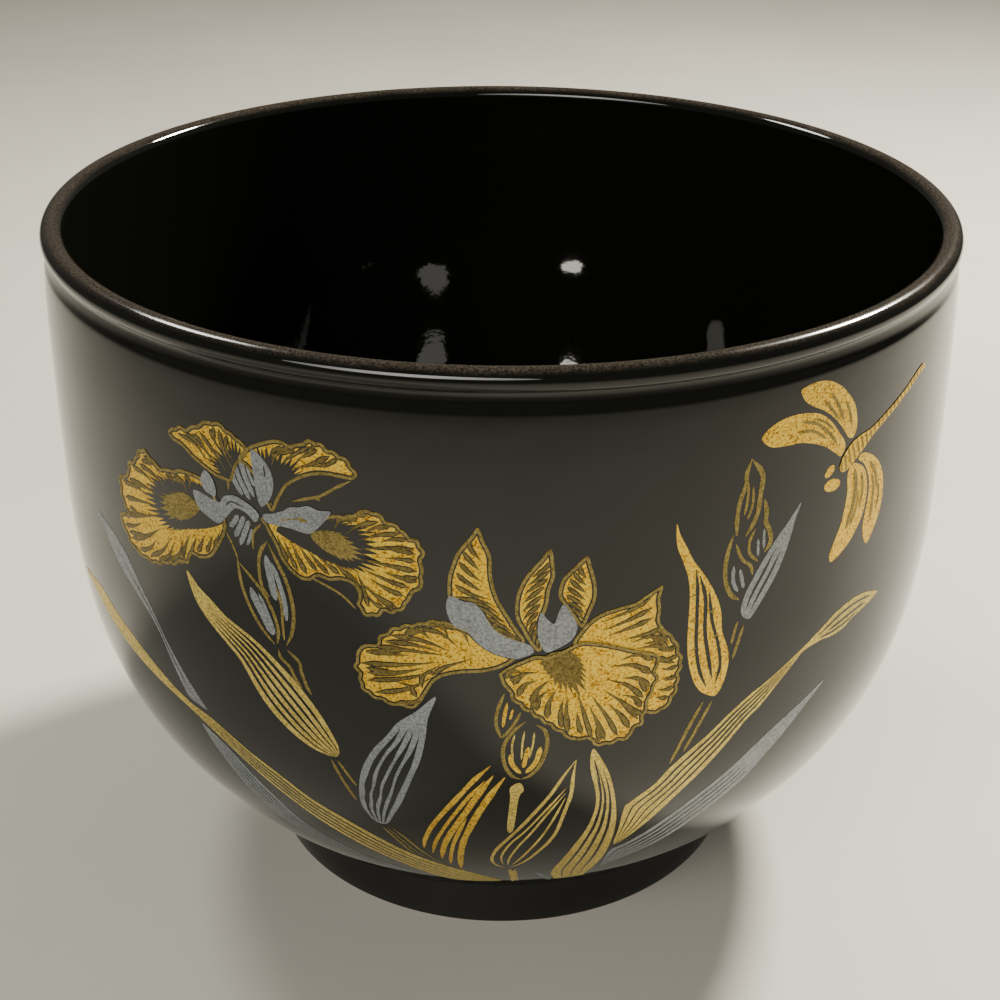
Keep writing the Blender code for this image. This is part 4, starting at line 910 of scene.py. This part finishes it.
def draw_fan(drawing, smooth, seed, throat, first, last, count, reach, width, bend):
    """Veins that start a little inside the border and run in towards the throat, some of them forked."""
    chance = random.Random(seed)
    edge = smooth[first * OUTLINE_SAMPLES:last * OUTLINE_SAMPLES + 1]
    lengths = lengths_along(edge)
    for i in range(count):
        share = (i + 0.5 + chance.uniform(-0.2, 0.2)) / count
        end = Vector(point_at(edge, lengths, share))
        away = Vector(throat) - end
        depth = reach * (chance.uniform(0.85, 1.05) if i % 2 else chance.uniform(0.5, 0.8))
        side = Vector((away.y, -away.x)).normalized()
        start = end + away.normalized() * (BORDER_WIDTH + BORDER_GAP) * chance.uniform(1.1, 1.9)
        stop = end + away * depth
        middle = (start + stop) / 2 + side * bend * (2 * share - 1)
        if not all(is_inside(smooth, p) for p in (start, middle, (middle + stop) / 2, stop)):
            continue
        line = spline_through([tuple(start), tuple(middle), tuple(stop)], VEIN_SAMPLES)
        draw_vein(drawing, line, width * chance.uniform(0.8, 1.1))
        if i % 3 == 1:
            lean = side * chance.choice((-1.0, 1.0)) * lengths[-1] / count * FORK_SPREAD
            bough = (start * 2 + middle) / 3 + lean * 0.6
            if is_inside(smooth, start + lean * 1.3):
                fork = spline_through([tuple(start + lean), tuple(bough), tuple(middle)], 5)
                draw_vein(drawing, fork, width * FORK_WIDTH, (0.2, 0.3))


def draw_dashes(drawing, outline, count, first, last, drop, across_start, across_stop):
    """Short veins that slant across a petal, one after the other from its tip to its base."""
    for i in range(count):
        place = first + (last - first) * i / (count - 1)
        line = []
        for step in range(9):
            part = step / 8
            across = across_start + (across_stop - across_start) * part
            share = min(place + drop * part, 0.98)
            line.append(rib(outline, across, share, share, 1)[0])
        draw_vein(drawing, line, DASH_WIDTH, (0.2, 0.5))


def draw_segments(drawing, outline, slot, width, count):
    """Cross lines that cut a long shape into segments."""
    first, second = leaf_sides(outline)
    first_lengths, second_lengths = lengths_along(first), lengths_along(second)
    for i in range(1, count):
        ends = [point_at(first, first_lengths, i / count), point_at(second, second_lengths, i / count)]
        drawing.ribbon(spline_through(ends, 4), width, "line", slot, (0.3, 0.3))


def draw_border(drawing, smooth):
    """An olive border with a thin dark line inside it."""
    drawing.ribbon(inset(smooth, BORDER_WIDTH / 2), BORDER_WIDTH, "top", "line_gold", closed=True)
    gap_depth = BORDER_WIDTH + BORDER_GAP / 2 - GAP_OVERLAP
    drawing.ribbon(inset(smooth, gap_depth), BORDER_GAP, "gap", "black_glaze", closed=True)


def draw_filled(name, slot, outline, wall, materials):
    """A filled element, from its outline and whatever the tables above add to it."""
    drawing = Print(name, wall)
    smooth = spline_through(outline, OUTLINE_SAMPLES, closed=True)
    if name in PETAL_FANS:
        smooth = ruffle(smooth, PETAL_FANS[name][1], PETAL_FANS[name][2])
    drawing.patch(smooth, "fill", slot)
    if name in LEAF_GAPS:
        draw_gaps(drawing, smooth, *LEAF_GAPS[name])
    if name in PETAL_DASHES:
        draw_dashes(drawing, smooth, *PETAL_DASHES[name])
    if name in PETAL_FANS:
        draw_fan(drawing, smooth, len(name), *PETAL_FANS[name])
    for points in PETAL_STROKES.get(name, []):
        draw_vein(drawing, spline_through(points, VEIN_SAMPLES), STROKE_WIDTH)
    if name in BORDERED:
        draw_border(drawing, smooth)
    for petal, ragged_slot, layer, throat, spikes, spike_length, points in RAGGED:
        if petal == name:
            drawing.patch(ragged_outline(points, throat, spikes, spike_length), layer, ragged_slot)
    for line_slot, layer, width, points in OVERLAYS.get(name, []):
        line = spline_through(points, LINE_SAMPLES)
        drawing.ribbon(line, width, layer, line_slot, (0.2, 0.2), wobble=0.1)
    if name in SEGMENTED:
        draw_segments(drawing, smooth, *SEGMENTED[name])
    drawing.finish(materials)


def draw_lines(name, lines, wall, materials):
    """An element that is drawn as lines on the bare glaze."""
    drawing = Print(name, wall)
    for slot, width, points in lines:
        drawing.ribbon(spline_through(points, LINE_SAMPLES), width, "fill", slot, (0.15, 0.3), wobble=0.08)
    drawing.finish(materials)


def eye_outline(centre_x, centre_y, half_length, half_width, turn_deg):
    """An ellipse, turned by this angle."""
    turn = math.radians(turn_deg)
    outline = []
    for x, y in arc((0.0, 0.0), half_length, half_width, 0, 330, 12):
        outline.append((centre_x + x * math.cos(turn) - y * math.sin(turn),
                        centre_y + x * math.sin(turn) + y * math.cos(turn)))
    return outline


# ---- materials ----
class Finish:
    """A Principled material with a few helpers for its nodes."""

    def __init__(self, name):
        self.material = bpy.data.materials.new(name)
        self.material.use_nodes = True
        self.nodes = self.material.node_tree.nodes
        self.links = self.material.node_tree.links
        self.shader = self.nodes["Principled BSDF"]
        self.place = self.nodes.new("ShaderNodeTexCoord").outputs["Object"]

    def set(self, **values):
        """Sets numbers on the shader's own sockets."""
        for key, value in values.items():
            self.shader.inputs[key.replace("_", " ")].default_value = value

    def noise(self, scale, detail=2.0, roughness=0.5):
        """A noise from 0 to 1, with about this many grains to the metre."""
        node = self.nodes.new("ShaderNodeTexNoise")
        node.inputs["Scale"].default_value = scale
        node.inputs["Detail"].default_value = detail
        node.inputs["Roughness"].default_value = roughness
        self.links.new(self.place, node.inputs["Vector"])
        return node.outputs["Fac"]

    def ramp(self, source, stops):
        """Colours from a number, with stops as (position, colour)."""
        node = self.nodes.new("ShaderNodeValToRGB")
        elements = node.color_ramp.elements
        while len(elements) < len(stops):
            elements.new(0.5)
        for element, (position, colour) in zip(elements, stops):
            element.position = position
            element.color = (*colour, 1.0)
        self.links.new(source, node.inputs["Fac"])
        return node.outputs["Color"]

    def maths(self, operation, first, second):
        """A Math node between two numbers or sockets."""
        node = self.nodes.new("ShaderNodeMath")
        node.operation = operation
        for socket, value in zip(node.inputs, (first, second)):
            if isinstance(value, (int, float)):
                socket.default_value = value
            else:
                self.links.new(value, socket)
        return node.outputs["Value"]

    def mix(self, factor, first, second):
        """A blend from the first colour or socket to the second."""
        node = self.nodes.new("ShaderNodeMix")
        node.data_type = "RGBA"
        self.links.new(factor, node.inputs["Factor"])
        for socket, value in ((node.inputs["A"], first), (node.inputs["B"], second)):
            if isinstance(value, tuple):
                socket.default_value = (*value, 1.0)
            else:
                self.links.new(value, socket)
        return node.outputs["Result"]

    def bump(self, height, distance, strength):
        """Relief from a height between 0 and 1, with this distance in metres."""
        node = self.nodes.new("ShaderNodeBump")
        node.inputs["Distance"].default_value = distance
        node.inputs["Strength"].default_value = strength
        self.links.new(height, node.inputs["Height"])
        self.links.new(node.outputs["Normal"], self.shader.inputs["Normal"])

    def drive(self, socket, source):
        """Links a node's output to one of the shader's sockets."""
        self.links.new(source, self.shader.inputs[socket])


def glaze_material():
    """Black high-gloss glaze that breaks brown-grey on the lip, with bare clay under the foot."""
    finish = Finish("black_glaze_gloss")
    finish.set(IOR=1.52)
    split = finish.nodes.new("ShaderNodeSeparateXYZ")
    finish.links.new(finish.place, split.inputs["Vector"])
    height = split.outputs["Z"]
    above = finish.maths("SUBTRACT", height, (HEIGHT - LIP_GRAIN_DEPTH) * MM)
    band = finish.maths("MULTIPLY", above, LIP_GRAIN_FADE)
    band = finish.maths("ADD", band, finish.maths("SUBTRACT", finish.noise(90.0), 0.5))
    lip_mask = finish.maths("MINIMUM", finish.maths("MAXIMUM", band, 0.0), 1.0)
    speckle = finish.noise(2600.0, 3.0, 0.7)
    grain = finish.ramp(speckle, [(0.40, (0.010, 0.008, 0.006)), (0.70, (0.075, 0.060, 0.042))])
    glazed = finish.mix(lip_mask, GLAZE_BLACK, grain)
    bare = finish.maths("LESS_THAN", height, CLAY_HEIGHT * MM)
    clay = finish.ramp(finish.noise(900.0, 4.0), [(0.3, (0.30, 0.25, 0.19)), (0.7, (0.44, 0.37, 0.29))])
    finish.drive("Base Color", finish.mix(bare, glazed, clay))
    rough = finish.maths("ADD", finish.maths("MULTIPLY", lip_mask, 0.14), GLAZE_ROUGHNESS)
    finish.drive("Roughness", finish.maths("MAXIMUM", rough, finish.maths("MULTIPLY", bare, 0.8)))
    ripple = finish.maths("MULTIPLY", finish.noise(420.0, 2.0), 0.10)
    finish.bump(finish.maths("ADD", finish.noise(55.0, 1.0), ripple), 0.00025, 0.35)
    return finish.material


def fired_metal(name, stops, metallic, roughness, grain, depth):
    """Gold or silver lustre: a fine grain in colour, gloss and height; in colour it is partly the print's
    own grain and partly painted sparkle.
    """
    finish = Finish(name)
    finish.set(Metallic=metallic)
    fine = finish.noise(grain, 3.0, 0.7)
    broad = finish.noise(grain / 9.0, 2.0)
    grain_and_sparkle = finish.maths("ADD", finish.maths("MULTIPLY", fine, 0.88), finish.maths("MULTIPLY", broad, 0.12))
    # Painted sparkle: the colour ramp's light and dark grains stand in for glints as well as for the
    # print's own grain.
    finish.drive("Base Color", finish.ramp(grain_and_sparkle, stops))
    finish.drive("Roughness", finish.maths("ADD", finish.maths("MULTIPLY", fine, 0.22), roughness))
    finish.bump(fine, depth, 0.8)
    return finish.material


def make_materials():
    """The materials by slot name."""
    materials = {"black_glaze": glaze_material()}
    for slot, (stops, metallic, roughness, grain, depth) in METALS.items():
        materials[slot] = fired_metal(slot + "_fired", stops, metallic, roughness, grain, depth)
    return materials


# ---- the bowl ----
def bowl_profile(wall):
    """The bowl's half section as (radius, height): inside, lip, outside, foot and underside."""
    inside = spline_through(INSIDE_POINTS, 8)[:-1]
    lip_centre = (RIM_RADIUS - LIP_HALF_WIDTH, HEIGHT - LIP_RISE)
    lip = arc(lip_centre, LIP_HALF_WIDTH, LIP_RISE, 180, LIP_END_DEG, 27)
    outside = [point for point in wall.points[::-1][:-1:2] if point[1] < NECK_START]
    neck = spline_through([lip[-1], *NECK_POINTS, outside[0]], 4)[1:-1]
    foot = spline_through([(45.4, 10.5), (43.6, 9.4), (43.0, FOOT_HEIGHT), (FOOT_RADIUS - 0.2, 3.0)], 5)
    foot += arc((FOOT_RADIUS - EDGE_ROUND, EDGE_ROUND), EDGE_ROUND, EDGE_ROUND, 0, -90, 5)
    ring_inside = FOOT_RADIUS - FOOT_RING
    foot += arc((ring_inside + EDGE_ROUND, EDGE_ROUND), EDGE_ROUND, EDGE_ROUND, -90, -180, 5)
    foot += spline_through([(ring_inside - 0.6, FOOT_RECESS - 0.8), (ring_inside - 2.0, FOOT_RECESS),
                            (20.0, FOOT_RECESS + 0.5), (0.0, FOOT_RECESS + 0.6)], 5)
    return inside + lip + neck + outside + foot


def build_bowl(wall, materials):
    """The ceramic, turned from its half section."""
    mesh = bpy.data.meshes.new("turned_bowl")
    rows = [(max(radius, 0.0) * MM, 0.0, height * MM) for radius, height in bowl_profile(wall)]
    mesh.from_pydata(rows, [(i, i + 1) for i in range(len(rows) - 1)], [])
    mesh.materials.append(materials["black_glaze"])
    bowl = bpy.data.objects.new("turned_bowl", mesh)
    bpy.context.scene.collection.objects.link(bowl)
    turn = bowl.modifiers.new("Turn", "SCREW")
    turn.axis = "Z"
    turn.angle = math.tau
    turn.steps = TURN_STEPS
    turn.render_steps = TURN_STEPS
    turn.use_merge_vertices = True
    turn.merge_threshold = 0.00001
    turn.use_smooth_shade = True
    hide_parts("bowl_body")
    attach(bowl, "root")


# ---- the stage ----
def make_floor():
    """A plain pale floor."""
    mesh = bpy.data.meshes.new("floor")
    shape = bmesh.new()
    bmesh.ops.create_grid(shape, x_segments=1, y_segments=1, size=FLOOR_HALF)
    shape.to_mesh(mesh)
    shape.free()
    finish = Finish("pale_floor")
    tone = finish.ramp(finish.noise(9.0, 3.0), [(0.3, (0.63, 0.610, 0.540)), (0.7, (0.69, 0.670, 0.595))])
    finish.drive("Base Color", tone)
    finish.set(Roughness=0.55)
    mesh.materials.append(finish.material)
    floor = bpy.data.objects.new("floor", mesh)
    bpy.context.scene.collection.objects.link(floor)


def add_light(name, place, target, size, power, colour, spread_deg):
    """An ellipse area lamp that faces the target."""
    light = bpy.data.lights.new(name, "AREA")
    light.shape = "ELLIPSE"
    light.size, light.size_y = size
    light.energy = power
    light.color = colour
    light.spread = math.radians(spread_deg)
    lamp = bpy.data.objects.new(name, light)
    lamp.location = place
    lamp.rotation_euler = (Vector(target) - Vector(place)).to_track_quat("-Z", "Y").to_euler()
    bpy.context.scene.collection.objects.link(lamp)


def make_lights():
    """A dim warm world and the studio lamps."""
    world = bpy.data.worlds.new("studio")
    world.use_nodes = True
    background = world.node_tree.nodes["Background"]
    background.inputs["Color"].default_value = WORLD_COLOUR
    background.inputs["Strength"].default_value = WORLD_STRENGTH
    bpy.context.scene.world = world
    for light in LIGHTS:
        add_light(*light)


def make_camera():
    """The camera looks down at the bowl's front, rolled a little."""
    target = Vector(CAMERA_TARGET) * MM
    back = Vector((0.0, -math.cos(CAMERA_ELEVATION), math.sin(CAMERA_ELEVATION)))
    right = Vector((1.0, 0.0, 0.0))
    up = back.cross(right)
    rolled_right = right * math.cos(CAMERA_ROLL) + up * math.sin(CAMERA_ROLL)
    rolled_up = back.cross(rolled_right)
    turn = Matrix((rolled_right, rolled_up, back)).transposed().to_4x4()
    data = bpy.data.cameras.new("camera")
    data.lens = CAMERA_LENS
    data.sensor_width = CAMERA_SENSOR
    data.shift_x, data.shift_y = CAMERA_SHIFT
    data.clip_start = 0.01
    camera = bpy.data.objects.new("camera", data)
    camera.matrix_world = Matrix.Translation(target + back * CAMERA_DISTANCE * MM) @ turn
    bpy.context.scene.collection.objects.link(camera)
    bpy.context.scene.camera = camera


def main():
    """Builds the bowl, its print and the stage."""
    wall = WallCurve()
    materials = make_materials()
    build_bowl(wall, materials)
    for group in (LEFT_IRIS, CENTRE_IRIS, LEAVES, BUDS, DRAGONFLY):
        for name, (slot, outline) in group.items():
            draw_filled(name, slot, outline, wall, materials)
    for name, lines in LINE_WORK.items():
        draw_lines(name, lines, wall, materials)
    for name, eye in EYES.items():
        draw_filled(name, "bright_gold", eye_outline(*eye), wall, materials)
    make_floor()
    make_lights()
    make_camera()


main()
